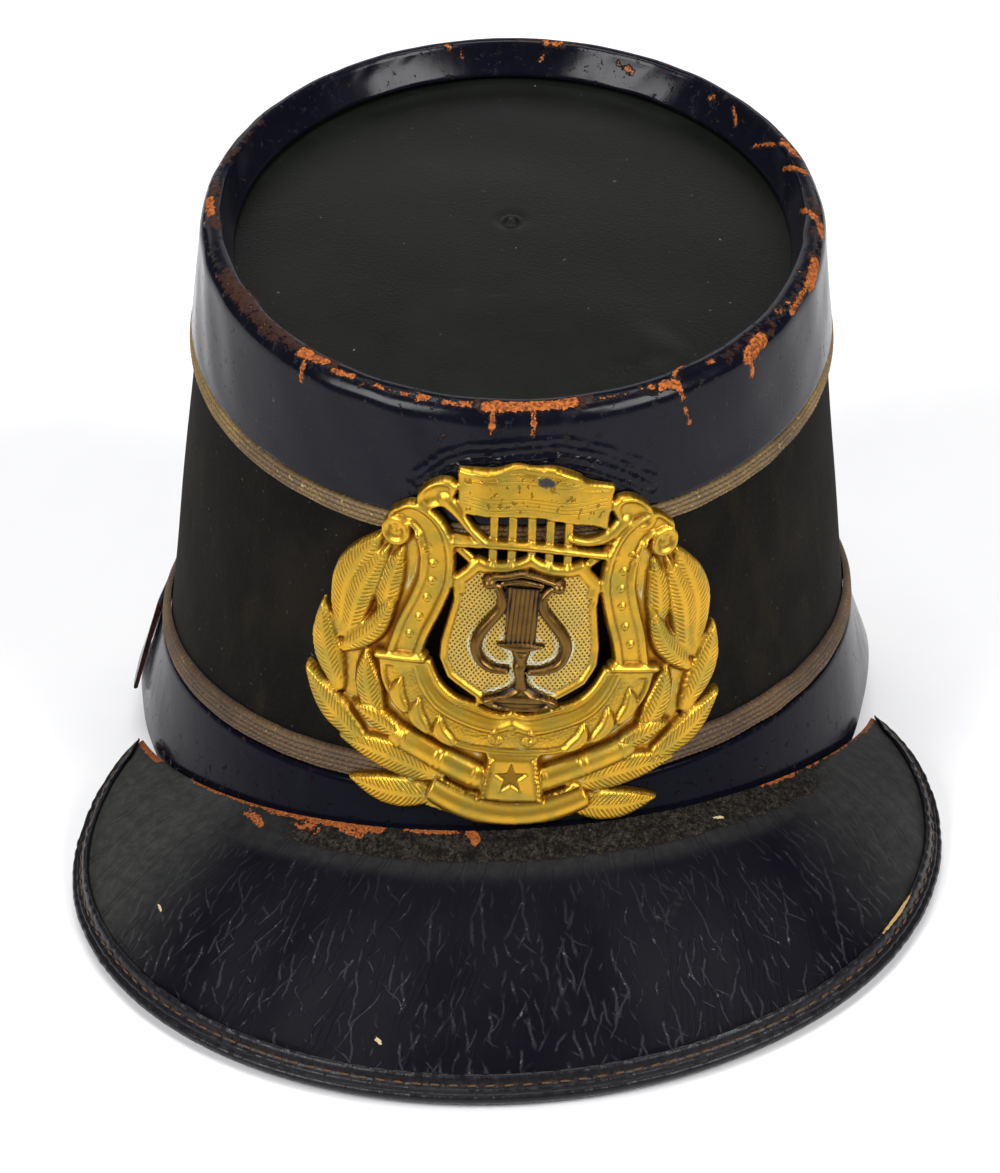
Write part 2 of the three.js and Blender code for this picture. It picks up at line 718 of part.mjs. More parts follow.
const shako = new THREE.Group();

function addPiece(name, geometry, material) {
  const piece = new THREE.Mesh(geometry, material);
  piece.name = name;
  shako.add(piece);
}

addPiece('crown_body', crownBody(), feltMaterial);
addPiece('crown_top', crownTop(), topMaterial);
addPiece('top_band', topBand(), patentMaterial);
addPiece('upper_braid', upperBraid(), braidMaterial);
addPiece('lower_band', lowerBand(), patentMaterial);
addPiece('lower_braid', lowerBraid(), braidMaterial);
addPiece('peak', peak(), peakMaterial);
addPiece('peak_binding', peakBinding(), bindingMaterial);
addPiece('badge_plate', badgePlateSolid(), brassMaterial);
addPiece('badge_lyre', badgeLyre(), bronzeMaterial);

// The pieces are drawn about the crown's base; the hat is then centred over its origin
const box = new THREE.Box3().setFromObject(shako);
shako.position.set(-(box.min.x + box.max.x) / 2, -(box.min.y + box.max.y) / 2, -box.min.z);

export default shako;
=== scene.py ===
"""A shako hat: felt crown, leather top, patent leather bands, woven braids, a bound peak and a brass badge.

Lengths are in millimetres until a piece is placed, and in metres in Blender. The hat faces -Y.
"Turn" is the angle round the crown from its front, positive to the viewer's right.
"""

import math

import bpy
import numpy as np
from mathutils import Matrix, Vector


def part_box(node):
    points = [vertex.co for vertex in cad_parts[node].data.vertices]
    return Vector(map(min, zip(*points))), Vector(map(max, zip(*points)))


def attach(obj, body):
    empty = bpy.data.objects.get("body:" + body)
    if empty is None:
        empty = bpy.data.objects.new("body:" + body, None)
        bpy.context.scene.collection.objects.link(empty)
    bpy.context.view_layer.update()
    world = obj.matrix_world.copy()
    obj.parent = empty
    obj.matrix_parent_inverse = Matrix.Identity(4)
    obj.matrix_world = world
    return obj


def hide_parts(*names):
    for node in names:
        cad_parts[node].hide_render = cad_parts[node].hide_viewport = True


bl_info = {
    "name": "Shako hat",
    "version": (1, 0, 0),
    "blender": (4, 5, 0),
    "location": "3D View > Sidebar > Shako",
    "description": "Builds the visible pieces and finishes of a shako hat round its frame",
    "category": "Object",
}

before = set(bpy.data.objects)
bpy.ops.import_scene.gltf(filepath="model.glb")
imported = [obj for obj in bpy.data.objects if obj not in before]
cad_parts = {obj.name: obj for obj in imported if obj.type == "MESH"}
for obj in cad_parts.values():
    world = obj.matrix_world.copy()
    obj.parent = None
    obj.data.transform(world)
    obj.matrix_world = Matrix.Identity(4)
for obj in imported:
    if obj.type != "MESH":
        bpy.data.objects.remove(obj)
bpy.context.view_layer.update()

MM = 0.001
DEGREE = math.pi / 180

# The felt crown's own centre, which its lengths are drawn about, as the frame places it
crown_low, crown_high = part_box("crown_body")
CROWN_CENTRE = np.array([(crown_low.x + crown_high.x) / 2, (crown_low.y + crown_high.y) / 2, 0.0]) / MM

CLEARANCE = 0.3

BASE_HALF_WIDTH = 85.0
BASE_HALF_LENGTH = 101.6
TOP_HALF_WIDTH = 70.4
TOP_HALF_LENGTH = 79.2
BASE_FRONT_HEIGHT = 24.8
TOP_FRONT_HEIGHT = 137.6
TOP_BACK_HEIGHT = 148.7
TOP_RIGHT_DROP = 2.7
TOP_SHIFT_RIGHT = 7.2
TOP_SHIFT_BACK = 2.0
FELT_WALL = 2.5

RIM_WIDTH = 6.5
RIM_DROP = 8.0
DISC_LEATHER = 2.2
DISC_CROWN = 2.4
PIP_RADIUS = 2.2
PIP_SHIFT_BACK = 6.0

BAND_LEATHER = 1.3
TOP_BAND_HEIGHT = 26.2
LOWER_BAND_HEIGHT = 24.7
LOWER_BAND_FLARE = 2.0
LOWER_BAND_SIDE_FLARE = 4.4
LAP_TURN = -92.5 * DEGREE
LAP_LENGTH = 17 * DEGREE

UPPER_BRAID_WIDTH = 4.5
UPPER_BRAID_THICKNESS = 1.5
LOWER_BRAID_WIDTH = 6.0
LOWER_BRAID_THICKNESS = 1.8

PEAK_HALF_WIDTH = 103.2
PEAK_REACH = 94.0
PEAK_FORWARD = 52.7
PEAK_TUCK = 65.0
PEAK_SHIFT_RIGHT = -2.0
PEAK_SWEEP = 115 * DEGREE
PEAK_ROOT_SWEEP = 78 * DEGREE
PEAK_RISE = 17.4
PEAK_CORNER_DROP = 3.0
PEAK_CORNER_LIFT = 9.0
PEAK_LEFT_LIFT = 3.2
PEAK_BULGE = 3.4
PEAK_LEATHER = 2.0
BINDING_WIDTH = 5.4
BINDING_LEATHER = 0.9

BADGE_CENTRE_HEIGHT = 58.5
BADGE_SHIFT_RIGHT = 0.4
BADGE_TURN = 5.2 * DEGREE
BADGE_LOWEST_HEIGHT = 18.5
BADGE_PLATE = 0.9

# Millimetres for each radian round the crown and along the peak's face and edge, and for each degree of its marks
CROWN_SPAN = 79.0
PEAK_SPAN = 75.0
EDGE_SPAN = 105.0
PEAK_MARK_SPAN = 1.31

# Cuts round the crown and along the peak: fine enough to draw cracks a millimetre long
RING_CUTS = 672
WALL_CUTS = 192
BRAID_CUTS = 1540
PEAK_CUTS = 340


# Small sums used by every piece

def mix(start, end, share):
    return start + (end - start) * share


def smooth(value):
    share = np.clip(value, 0, 1)
    return share * share * (3 - 2 * share)


def hump(value, middle, half):
    """1 at the middle, falling smoothly to 0 half a width away."""
    return smooth(1 - np.abs(value - middle) / half)


def ripple(u, v, length, seed):
    """A gentle unevenness between -1 and 1, made of a few waves of about that length."""
    draw = np.random.default_rng(seed)
    total = 0
    for _ in range(6):
        turn = draw.uniform(0, 2 * math.pi)
        reach = length * draw.uniform(0.7, 1.6)
        shift = draw.uniform(0, 2 * math.pi)
        total = total + np.sin((u * math.cos(turn) + v * math.sin(turn)) * 2 * math.pi / reach + shift)
    return total / 3.4


def ring_ripple(turn, v, waves, seed):
    """The same, for a piece that goes right round: it meets itself."""
    return ripple(np.cos(turn) * waves, np.sin(turn) * waves + v, 1.0, seed)


# The crown's form

def base_height(turn):
    return BASE_FRONT_HEIGHT * (1 + np.cos(turn)) / 2


def top_height(turn):
    return mix(TOP_FRONT_HEIGHT, TOP_BACK_HEIGHT, (1 - np.cos(turn)) / 2) - TOP_RIGHT_DROP * np.sin(turn)


def wall_point(turn, share, out):
    half_width = mix(BASE_HALF_WIDTH, TOP_HALF_WIDTH, share) + out
    half_length = mix(BASE_HALF_LENGTH, TOP_HALF_LENGTH, share) + out
    across = share * TOP_SHIFT_RIGHT + half_width * np.sin(turn)
    back = share * TOP_SHIFT_BACK - half_length * np.cos(turn)
    return np.stack(np.broadcast_arrays(across, back, mix(base_height(turn), top_height(turn), share)), -1)


def above_base(turn, height, out):
    return wall_point(turn, height / (top_height(turn) - base_height(turn)), out)


def below_rim(turn, drop, out):
    return wall_point(turn, 1 - drop / (top_height(turn) - base_height(turn)), out)


def lower_band_inside(turn, height):
    share = 1 - np.clip(height / LOWER_BAND_HEIGHT, 0, 1)
    side = hump(np.abs(turn), 108 * DEGREE, 32 * DEGREE)
    return CLEARANCE + share * (LOWER_BAND_FLARE + side * LOWER_BAND_SIDE_FLARE)


# The peak's form

def left_lift(sweep):
    return PEAK_LEFT_LIFT * smooth(-sweep / PEAK_SWEEP)


def peak_root(sweep):
    turn = sweep * PEAK_ROOT_SWEEP / PEAK_SWEEP
    fall = (np.abs(turn) / PEAK_ROOT_SWEEP) ** 2.2
    height = mix(PEAK_RISE, left_lift(sweep) - PEAK_CORNER_DROP, fall)
    out = lower_band_inside(turn, height) + BAND_LEATHER + CLEARANCE + 0.8 * PEAK_LEATHER
    return above_base(turn, height, out)


def peak_edge(sweep, lift):
    reach = np.where(np.cos(sweep) > 0, PEAK_REACH, PEAK_TUCK)
    corner = smooth((np.abs(sweep) / PEAK_SWEEP - 0.7) / 0.3)
    pulled = mix(1.2, 4.4, smooth(0.5 - sweep)) * corner
    across = PEAK_SHIFT_RIGHT + (PEAK_HALF_WIDTH - 0.5 * left_lift(sweep) - pulled) * np.sin(sweep)
    return np.stack(
        [across, -PEAK_FORWARD - reach * np.cos(sweep), lift + corner * (PEAK_CORNER_LIFT + left_lift(sweep))], -1
    )


def peak_face(sweep, share, lift):
    """Points of the peak's upper face with their outward tangents and normals."""
    sweep, share, lift = np.broadcast_arrays(sweep, share, lift)
    root = peak_root(sweep)
    chord = peak_edge(sweep, lift) - root
    length = np.linalg.norm(chord, axis=-1)
    level = np.hypot(chord[..., 0], chord[..., 1])
    steep = -chord[..., 2] / level
    rise = np.stack([chord[..., 0] * steep, chord[..., 1] * steep, level], -1) / length[..., None]
    bulge = PEAK_BULGE * np.minimum(length / PEAK_REACH * 2, 1)
    slope = bulge * math.pi * np.cos(math.pi * share)
    point = root + chord * share[..., None] + rise * (bulge * np.sin(math.pi * share))[..., None]
    tangent = chord + rise * slope[..., None]
    normal = rise * length[..., None] - chord * (slope / length)[..., None]
    return (
        point,
        tangent / np.linalg.norm(tangent, axis=-1)[..., None],
        normal / np.linalg.norm(normal, axis=-1)[..., None],
    )


def edge_lift(sweep):
    """How high the edge lies for its binding to touch the surface below."""
    lowest = [(CLEARANCE, -PEAK_LEATHER - CLEARANCE - BINDING_LEATHER),
              (CLEARANCE + 0.75 * BINDING_LEATHER, -PEAK_LEATHER),
              (CLEARANCE + BINDING_LEATHER, -0.5 * PEAK_LEATHER)]
    lift = np.full_like(sweep, PEAK_LEATHER)
    for _ in range(3):
        _, tangent, normal = peak_face(sweep, 1.0, lift)
        lift = -np.min([a * tangent[..., 2] + o * normal[..., 2] for a, o in lowest], axis=0)
    return lift


def binding_start(sweep, lift):
    reach = np.linalg.norm(peak_edge(sweep, lift) - peak_root(sweep), axis=-1)
    return np.maximum(1 - BINDING_WIDTH / reach, 0.45)


# The badge's own plane: across and up in millimetres, lift outwards from its back

def badge_point(across, up, lift):
    seat = lower_band_inside(0.0, BADGE_LOWEST_HEIGHT) + BAND_LEATHER + CLEARANCE
    rise = top_height(0.0) - base_height(0.0)
    slant = math.hypot(rise, BASE_HALF_LENGTH - TOP_HALF_LENGTH + TOP_SHIFT_BACK)
    cos, sin = math.cos(BADGE_TURN), math.sin(BADGE_TURN)
    share = BADGE_CENTRE_HEIGHT / rise + (up * cos - across * sin) / slant
    arc = BADGE_SHIFT_RIGHT + across * cos + up * sin
    half_width = mix(BASE_HALF_WIDTH, TOP_HALF_WIDTH, share) + seat
    half_length = mix(BASE_HALF_LENGTH, TOP_HALF_LENGTH, share) + seat
    steps = 16
    turn = np.zeros_like(arc)
    for _ in range(steps):
        turn = turn + arc / steps / np.hypot(half_width * np.cos(turn), half_length * np.sin(turn))
    return wall_point(turn, share, seat + lift)


# Making meshes

def only(piece):
    """Makes this the one selected and active object."""
    bpy.ops.object.select_all(action="DESELECT")
    piece.select_set(True)
    bpy.context.view_layer.objects.active = piece


def flat_grid(name, columns, rows):
    """A grid primitive, with each vertex's column and row."""
    bpy.ops.object.select_all(action="DESELECT")
    bpy.ops.mesh.primitive_grid_add(x_subdivisions=columns, y_subdivisions=rows, size=2, location=(0, 0, 0))
    piece = bpy.context.object
    piece.name = name
    piece.data.name = name
    place = np.empty(len(piece.data.vertices) * 3)
    piece.data.vertices.foreach_get("co", place)
    place = place.reshape(-1, 3)
    column = np.rint((place[:, 0] + 1) / 2 * columns).astype(int)
    row = np.rint((place[:, 1] + 1) / 2 * rows).astype(int)
    return piece, column, row


def set_points(mesh, points):
    mesh.vertices.foreach_set("co", ((points + CROWN_CENTRE) * MM).astype(np.float32).ravel())
    mesh.update()


def set_flat(mesh, flat):
    """The piece's own UV map, in millimetres, from a value for each vertex."""
    layer = mesh.uv_layers.active or mesh.uv_layers.new()
    layer.name = "flat"
    corner = np.empty(len(mesh.loops), int)
    mesh.loops.foreach_get("vertex_index", corner)
    layer.data.foreach_set("uv", flat[corner].astype(np.float32).ravel())


def set_mark(mesh, name, values):
    mark = mesh.attributes.new(name, "FLOAT", "POINT")
    mark.data.foreach_set("value", np.asarray(values, np.float32).ravel())


def close_up(piece, cap=False, angle=50):
    """Merges edges that meet, caps open ends, turns faces outwards and shades the piece smooth."""
    only(piece)
    bpy.ops.object.mode_set(mode="EDIT")
    bpy.ops.mesh.select_all(action="SELECT")
    bpy.ops.mesh.remove_doubles(threshold=1e-6)
    if cap:
        bpy.ops.mesh.fill_holes(sides=0)
        bpy.ops.mesh.select_all(action="SELECT")
    bpy.ops.mesh.normals_make_consistent(inside=False)
    bpy.ops.object.mode_set(mode="OBJECT")
    bpy.ops.object.shade_smooth_by_angle(angle=angle * DEGREE)


def rolled_sheet(name, points, flat, marks=None, cap=False, angle=50):
    """A flat grid rolled to its place in the hat. Rows and columns that meet are merged."""
    columns, rows = points.shape[0] - 1, points.shape[1] - 1
    piece, column, row = flat_grid(name, columns, rows)
    set_points(piece.data, points[column, row])
    set_flat(piece.data, flat[column, row])
    for mark, values in (marks or {}).items():
        set_mark(piece.data, mark, np.broadcast_to(values, points.shape[:2])[column, row])
    close_up(piece, cap, angle)
    return piece


def place(piece, node, slot, *materials):
    """Gives a finished piece its finish and its body, and hides the frame part that it stands for."""
    piece.data.materials.clear()
    for material in materials:
        piece.data.materials.append(material)
    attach(piece, "root")
    if node:
        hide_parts(node)


# Making materials

def linear(code):
    """An sRGB hex colour as linear red, green, blue and alpha."""
    parts = [int(code[i:i + 2], 16) / 255 for i in (1, 3, 5)]
    return tuple(p / 12.92 if p <= 0.04045 else ((p + 0.055) / 1.055) ** 2.4 for p in parts) + (1.0,)


def add(owner, kind, inputs=(), out=0, **settings):
    """Adds a node with its settings to a material or world, and gives one of its outputs.

    Inputs come in order or by name. A socket is linked, any other value is set, and None leaves an input alone.
    A socket given with a low and a high, and with two results or else 0 and 1, is first taken smoothly between them.
    """
    tree = owner.node_tree
    node = tree.nodes.new("ShaderNode" + kind)
    for name, value in settings.items():
        setattr(node, name, value)
    for name, value in inputs.items() if isinstance(inputs, dict) else enumerate(inputs):
        if isinstance(value, tuple) and isinstance(value[0], bpy.types.NodeSocket):
            value = add(owner, "MapRange", value, interpolation_type="SMOOTHSTEP")
        if isinstance(value, bpy.types.NodeSocket):
            tree.links.new(value, node.inputs[name])
        elif value is not None:
            node.inputs[name].default_value = value
    return node.outputs[out] if node.outputs else None


def new_finish(name):
    """An empty material, and Object coordinates in millimetres."""
    finish = bpy.data.materials.new(name)
    finish.use_nodes = True
    finish.node_tree.nodes.clear()
    spot = add(finish, "TexCoord", out="Object")
    return finish, add(finish, "Mapping", {"Vector": spot, "Scale": (1 / MM, 1 / MM, 1 / MM)})


def uneven(finish, where, size, detail=3.0, rough=0.55, drawn=(1.0, 1.0, 1.0), turn=0.0):
    """Unevenness whose main spots are that many millimetres across, and longer where drawn is under 1."""
    scale = [share / size for share in drawn]
    spot = add(finish, "Mapping", {"Vector": where, "Scale": scale, "Rotation": (0.0, 0.0, turn)})
    return add(finish, "TexNoise", {"Vector": spot, "Scale": 1.0, "Detail": detail, "Roughness": rough})


def worn_where(finish, mark, roughened, low, high):
    """Where a mark on the mesh, made ragged by some unevenness, rises from low to high."""
    total = add(finish, "Attribute", out="Fac", attribute_name=mark)
    for value, share in roughened:
        total = add(finish, "Math", (value, share, total), operation="MULTIPLY_ADD")
    return add(finish, "MapRange", (total, low, high), interpolation_type="SMOOTHSTEP")


def times(finish, total, *values):
    """The product of some values."""
    for value in values:
        total = add(finish, "Math", (total, value), operation="MULTIPLY")
    return total


def highest(finish, total, *values):
    """The highest of some values."""
    for value in values:
        total = add(finish, "Math", (total, value), operation="MAXIMUM")
    return total


def laid(finish, colour, coats):
    """Coats laid over a colour: where each lies, how thickly, and its own colour, a hex value or one made before."""
    colour = linear(colour) if isinstance(colour, str) else (*colour, 1.0)
    for where, thick, paint in coats:
        paint = linear(paint) if isinstance(paint, str) else paint
        share = times(finish, where, thick)
        colour = add(finish, "Mix", {0: share, 6: colour, 7: paint}, out=2, data_type="RGBA")
    return colour


def finished(finish, colour, rough, relief, shine):
    """Ends a material with its colour, its roughness, rows of a height and its depth in millimetres, and the rest."""
    normal = None
    for height, depth in relief:
        normal = add(finish, "Bump", {"Height": height, "Distance": depth * MM, "Strength": 1.0, "Normal": normal})
    surface = {"Base Color": colour, "Roughness": rough, "Normal": normal}
    add(finish, "OutputMaterial", {"Surface": add(finish, "BsdfPrincipled", {**surface, **shine})})
    return finish


def waves(finish, value, length, shift=0.0):
    """Even waves of that length."""
    turned = add(finish, "Math", (value, 2 * math.pi / length, shift), operation="MULTIPLY_ADD")
    return add(finish, "Math", (turned,), operation="COSINE")


def creases(finish, where, apart, width, turn, length, share):
    """Broken wandering lines that far apart and that wide at most, 1 on a line and 0 off it."""
    wander = add(finish, "TexNoise", {"Vector": where, "Scale": 1 / 7.0, "Detail": 2.0}, out="Color")
    centred = add(finish, "VectorMath", (wander, (0.5, 0.5, 0.5)), operation="SUBTRACT")
    strayed = add(finish, "VectorMath", (centred, (3.2, 3.2, 0.0), where), operation="MULTIPLY_ADD")
    turned = add(finish, "Mapping", {
        "Vector": strayed, "Rotation": (0.0, 0.0, turn), "Location": (37.0 * turn, 11.0, 0.0),
    })
    lines = add(finish, "Math", (add(finish, "SeparateXYZ", (turned,)), apart), operation="DIVIDE")
    near = add(finish, "Math", (lines, 0.5), operation="PINGPONG")
    broken = uneven(finish, turned, 3.6, 2.0, 0.6, drawn=(1.0, length, 1.0))
    return times(finish, (near, 0.5 * width / apart, 0.2 * width / apart), (broken, share, share + 0.1))


# Finishes

def wool_felt(looks):
    """Pressed wool felt with a short nap: quite matt, brown-black, with grey lint and faint rubbed clouds."""
    finish, where = new_finish("pressed_wool_felt")
    cloud = uneven(finish, where, 24.0)
    rubbed = uneven(finish, where, 8.0, 4.0, 0.6, drawn=(1.0, 1.0, 0.3))
    nap = uneven(finish, where, 0.8, 5.0, 0.75)
    lint = uneven(finish, where, 1.4, 2.0, 0.6)
    fleck = add(finish, "Attribute", out="Fac", attribute_name="fleck")
    colour = laid(finish, looks.felt_colour, [
        ((cloud, 0.4, 0.68), 1.0, "#181511"), ((rubbed, 0.5, 0.8), 0.8, "#201b13"), ((nap, 0.45, 0.8), 0.6, "#25221b"),
        ((lint, 0.70, 0.76), 0.45, "#6a645a"), (fleck, 1.0, "#a08050"),
    ])
    return finished(finish, colour, 0.95, [(nap, 0.2)], {
        "Specular IOR Level": 0.1, "Sheen Weight": 0.03, "Sheen Roughness": 0.4, "Sheen Tint": linear("#b5aea0"),
    })


def crown_leather(looks):
    """Waxed leather gone dull: greenish black with a fine grain and cloudy handling marks."""
    finish, where = new_finish("dull_waxed_leather")
    cloud = uneven(finish, where, 34.0, 4.0, 0.6)
    scuff = uneven(finish, where, 3.0, 5.0, 0.7, drawn=(0.25, 1.0, 1.0), turn=0.5)
    dust = uneven(finish, where, 1.6, 1.0)
    pores = add(finish, "TexVoronoi", {"Vector": where, "Scale": 1 / 0.9})
    grain = add(finish, "Math", (pores, 0.6, uneven(finish, where, 0.5, 3.0, 0.6)), operation="MULTIPLY_ADD")
    colour = laid(finish, looks.top_colour, [
        ((cloud, 0.35, 0.7), 1.0, "#11130f"), ((scuff, 0.6, 0.8), 0.3, "#3c3c36"), ((dust, 0.79, 0.82), 0.5, "#85857f"),
    ])
    return finished(finish, colour, (cloud, 0.3, 0.75, 0.34, 0.46), [(grain, 0.05)], {"Specular IOR Level": 0.12})


def patent_leather(name, looks, dust, shine):
    """Leather under a hard, glossy, blue-black lacquer. Where it has flaked off the orange-brown leather shows."""
    finish, where = new_finish(name)
    flat = add(finish, "UVMap", uv_map="flat")
    smear = uneven(finish, flat, 7.0, 4.0, 0.65, drawn=(1.0, 0.3, 1.0))
    fine = uneven(finish, where, 0.8, 4.0, 0.65)
    tear = uneven(finish, where, 0.75, 5.0, 0.75)
    rip = uneven(finish, where, 2.6, 4.0, 0.7)
    drawn = uneven(finish, flat, 0.9, 4.0, 0.75, drawn=(0.4, 1.0, 1.0), turn=0.2)
    bare = worn_where(finish, "chip", [(rip, 2.3), (tear, 0.9)], 2.17, 2.23)
    lip = worn_where(finish, "chip", [(rip, 2.3), (tear, 0.9)], 1.86, 2.14)
    brown = worn_where(finish, "brown", [(rip, 1.6)], 1.25, 1.6)
    pale = worn_where(finish, "scratch", [(drawn, 0.9)], 1.02, 1.1)
    fibres = add(finish, "Math", (fine, 0.5, tear), operation="MULTIPLY_ADD")
    hide = laid(finish, "#52240f", [((fibres, 0.6, 0.9), 1.0, "#b5652b")])
    colour = laid(finish, looks.patent_colour, [
        ((smear, 0.5, 0.85), dust, "#3a3b42"), (brown, 0.8, "#3b2114"), (lip, 0.85, "#1c0f0a"), (bare, 1.0, hide),
        (pale, 0.6, "#8d8a86"),
    ])
    gloss = looks.patent_roughness
    rough = highest(finish, (smear, 0.4, 0.9, gloss, gloss + 0.15), times(finish, highest(finish, bare, brown), 0.7))
    relief = [(uneven(finish, where, 14.0, 2.0), 0.14), (fine, 0.015), (lip, -0.2)]
    return finished(finish, colour, rough, relief, {"Specular IOR Level": shine})


def woven_braid(name, bright, dull, dark, gleam):
    """Flat braid of metal-wrapped thread, tarnished: dull tan strands, painted shade between them, with a few painted
    glints.
    """
    finish, where = new_finish(name)
    flat = add(finish, "UVMap", uv_map="flat")
    cloud = uneven(finish, where, 18.0, 3.0, 0.6)
    thread = uneven(finish, flat, 0.5, 3.0, 0.7, drawn=(1.0, 0.5, 1.0))
    strand = add(finish, "Attribute", out="Fac", attribute_name="strand")
    glint = uneven(finish, where, 0.9, 2.0, 0.8)
    # Where strands and threads lie low the colour goes dark: painted shade between them. The pale gleam flecks are
    # painted glints.
    colour = laid(finish, dull, [
        ((cloud, 0.35, 0.7), 1.0, bright), ((thread, 0.75, 0.3), 0.45, dark), ((strand, 0.75, 0.15), 0.9, dark),
        ((glint, 0.6, 0.72), gleam, "#cdb27a"),
    ])
    return finished(finish, colour, 0.62, [(thread, 0.12)], {"Metallic": 0.15})


def peak_leather(looks):
    """Heavy leather under old black varnish: glossy, crazed all over with painted glints on the crazing, worn to its
    dull fibres along the raw edge, matt at the sides with a painted grey sheen.
    """
    finish, where = new_finish("crazed_varnished_leather")
    flat = add(finish, "UVMap", uv_map="flat")
    cloud = uneven(finish, where, 16.0)
    fine = uneven(finish, where, 0.55, 4.0, 0.65)
    tear = uneven(finish, where, 1.2, 5.0, 0.7)
    rip = uneven(finish, where, 2.2, 5.0, 0.75)
    crazed = highest(finish, *(creases(finish, flat, *lines) for lines in (
        (2.3, 0.78, 0.12, 0.36, 0.5), (2.9, 0.7, -0.38, 0.42, 0.52), (3.8, 0.6, 0.75, 0.5, 0.55),
    )))
    crazed = times(finish, crazed, add(finish, "Attribute", out="Fac", attribute_name="crazed"))
    # Light grey specks on the crazing: painted glints.
    glint = times(finish, crazed, (uneven(finish, where, 1.5, 3.0, 0.8), 0.6, 0.68))
    hair = creases(finish, flat, 1.3, 0.6, -0.2, 0.12, 0.5)
    # The sides are matt and are laid with a lighter grey than the varnish: a real matt finish, with painted sheen in
    # the grey.
    matt = add(finish, "Attribute", out="Fac", attribute_name="matt")
    worn = worn_where(finish, "worn", [(tear, 0.4), (rip, 1.0)], 1.02, 1.28)
    bare = worn_where(finish, "bare", [(rip, 2.0)], 1.62, 1.74)
    scuff = worn_where(finish, "scuff", [(tear, 0.8)], 0.9, 1.15)
    pale = worn_where(finish, "pale", [(tear, 0.7)], 1.0, 1.12)
    chalk = uneven(finish, flat, 3.0, 5.0, 0.75)
    painted_sheen_grey = laid(finish, "#343532", [((chalk, 0.35, 0.7), 1.0, "#454642"), (hair, 0.5, "#1c1c1c")])
    fibres = add(finish, "Math", (fine, 0.6, tear), operation="MULTIPLY_ADD")
    tufts = times(finish, (fibres, 0.65, 1.0), (rip, 0.36, 0.62, 0.2, 1.0))
    fibre = laid(finish, "#0d0b0a", [(tufts, 1.0, "#3b362f")])
    hide = laid(finish, "#5c2d14", [((fine, 0.3, 0.7), 1.0, "#a05c30")])
    colour = laid(finish, looks.peak_colour, [
        ((cloud, 0.4, 0.75), 0.5, "#131318"), (crazed, 0.8, "#2b2b30"), (glint, 0.55, "#77777b"), (matt, 0.9, painted_sheen_grey),
        (worn, 0.9, fibre), (scuff, 0.55, "#2b2925"), (bare, 1.0, hide), (pale, 1.0, "#b9a983"),
    ])
    gloss = looks.peak_roughness
    rough = highest(finish, (cloud, 0.3, 0.8, gloss, gloss + 0.1), times(finish, highest(finish, worn, scuff), 0.75),
                    times(finish, highest(finish, bare, crazed), 0.45), matt)
    relief = [(uneven(finish, flat, 5.0, 2.0, drawn=(1.0, 0.35, 1.0)), 0.12), (crazed, 0.18), (hair, 0.04),
              (fine, 0.02), (times(finish, worn, tear), 0.5)]
    return finished(finish, colour, rough, relief, {"Specular IOR Level": 0.04})


def binding_leather(looks):
    """Thin glossy leather folded over the edge and pulled tight: small cross wrinkles, rubbed brown at the seam."""
    finish, where = new_finish("folded_binding_leather")
    flat = add(finish, "UVMap", uv_map="flat")
    pull = uneven(finish, flat, 0.9, 3.0, 0.6, drawn=(1.0, 0.3, 1.0))
    tear = uneven(finish, where, 1.4, 4.0, 0.7)
    rubbed = worn_where(finish, "rubbed", [(tear, 0.8)], 0.85, 1.1)
    pale = worn_where(finish, "pale", [(tear, 0.7)], 0.95, 1.1)
    colour = laid(finish, looks.binding_colour, [(rubbed, 0.8, "#3d2a1b"), (pale, 1.0, "#a98b58")])
    return finished(finish, colour, (tear, 0.3, 0.8, 0.26, 0.48), [(pull, 0.14)], {"Specular IOR Level": 0.2})


def stitch_thread():
    """Waxed linen thread, orange-brown with dirt."""
    finish, where = new_finish("waxed_linen_thread")
    twist = uneven(finish, where, 0.4, 2.0)
    return finished(finish, laid(finish, "#2a1d11", [(twist, 1.0, "#5a4023")]), 0.7, [(twist, 0.1)], {})


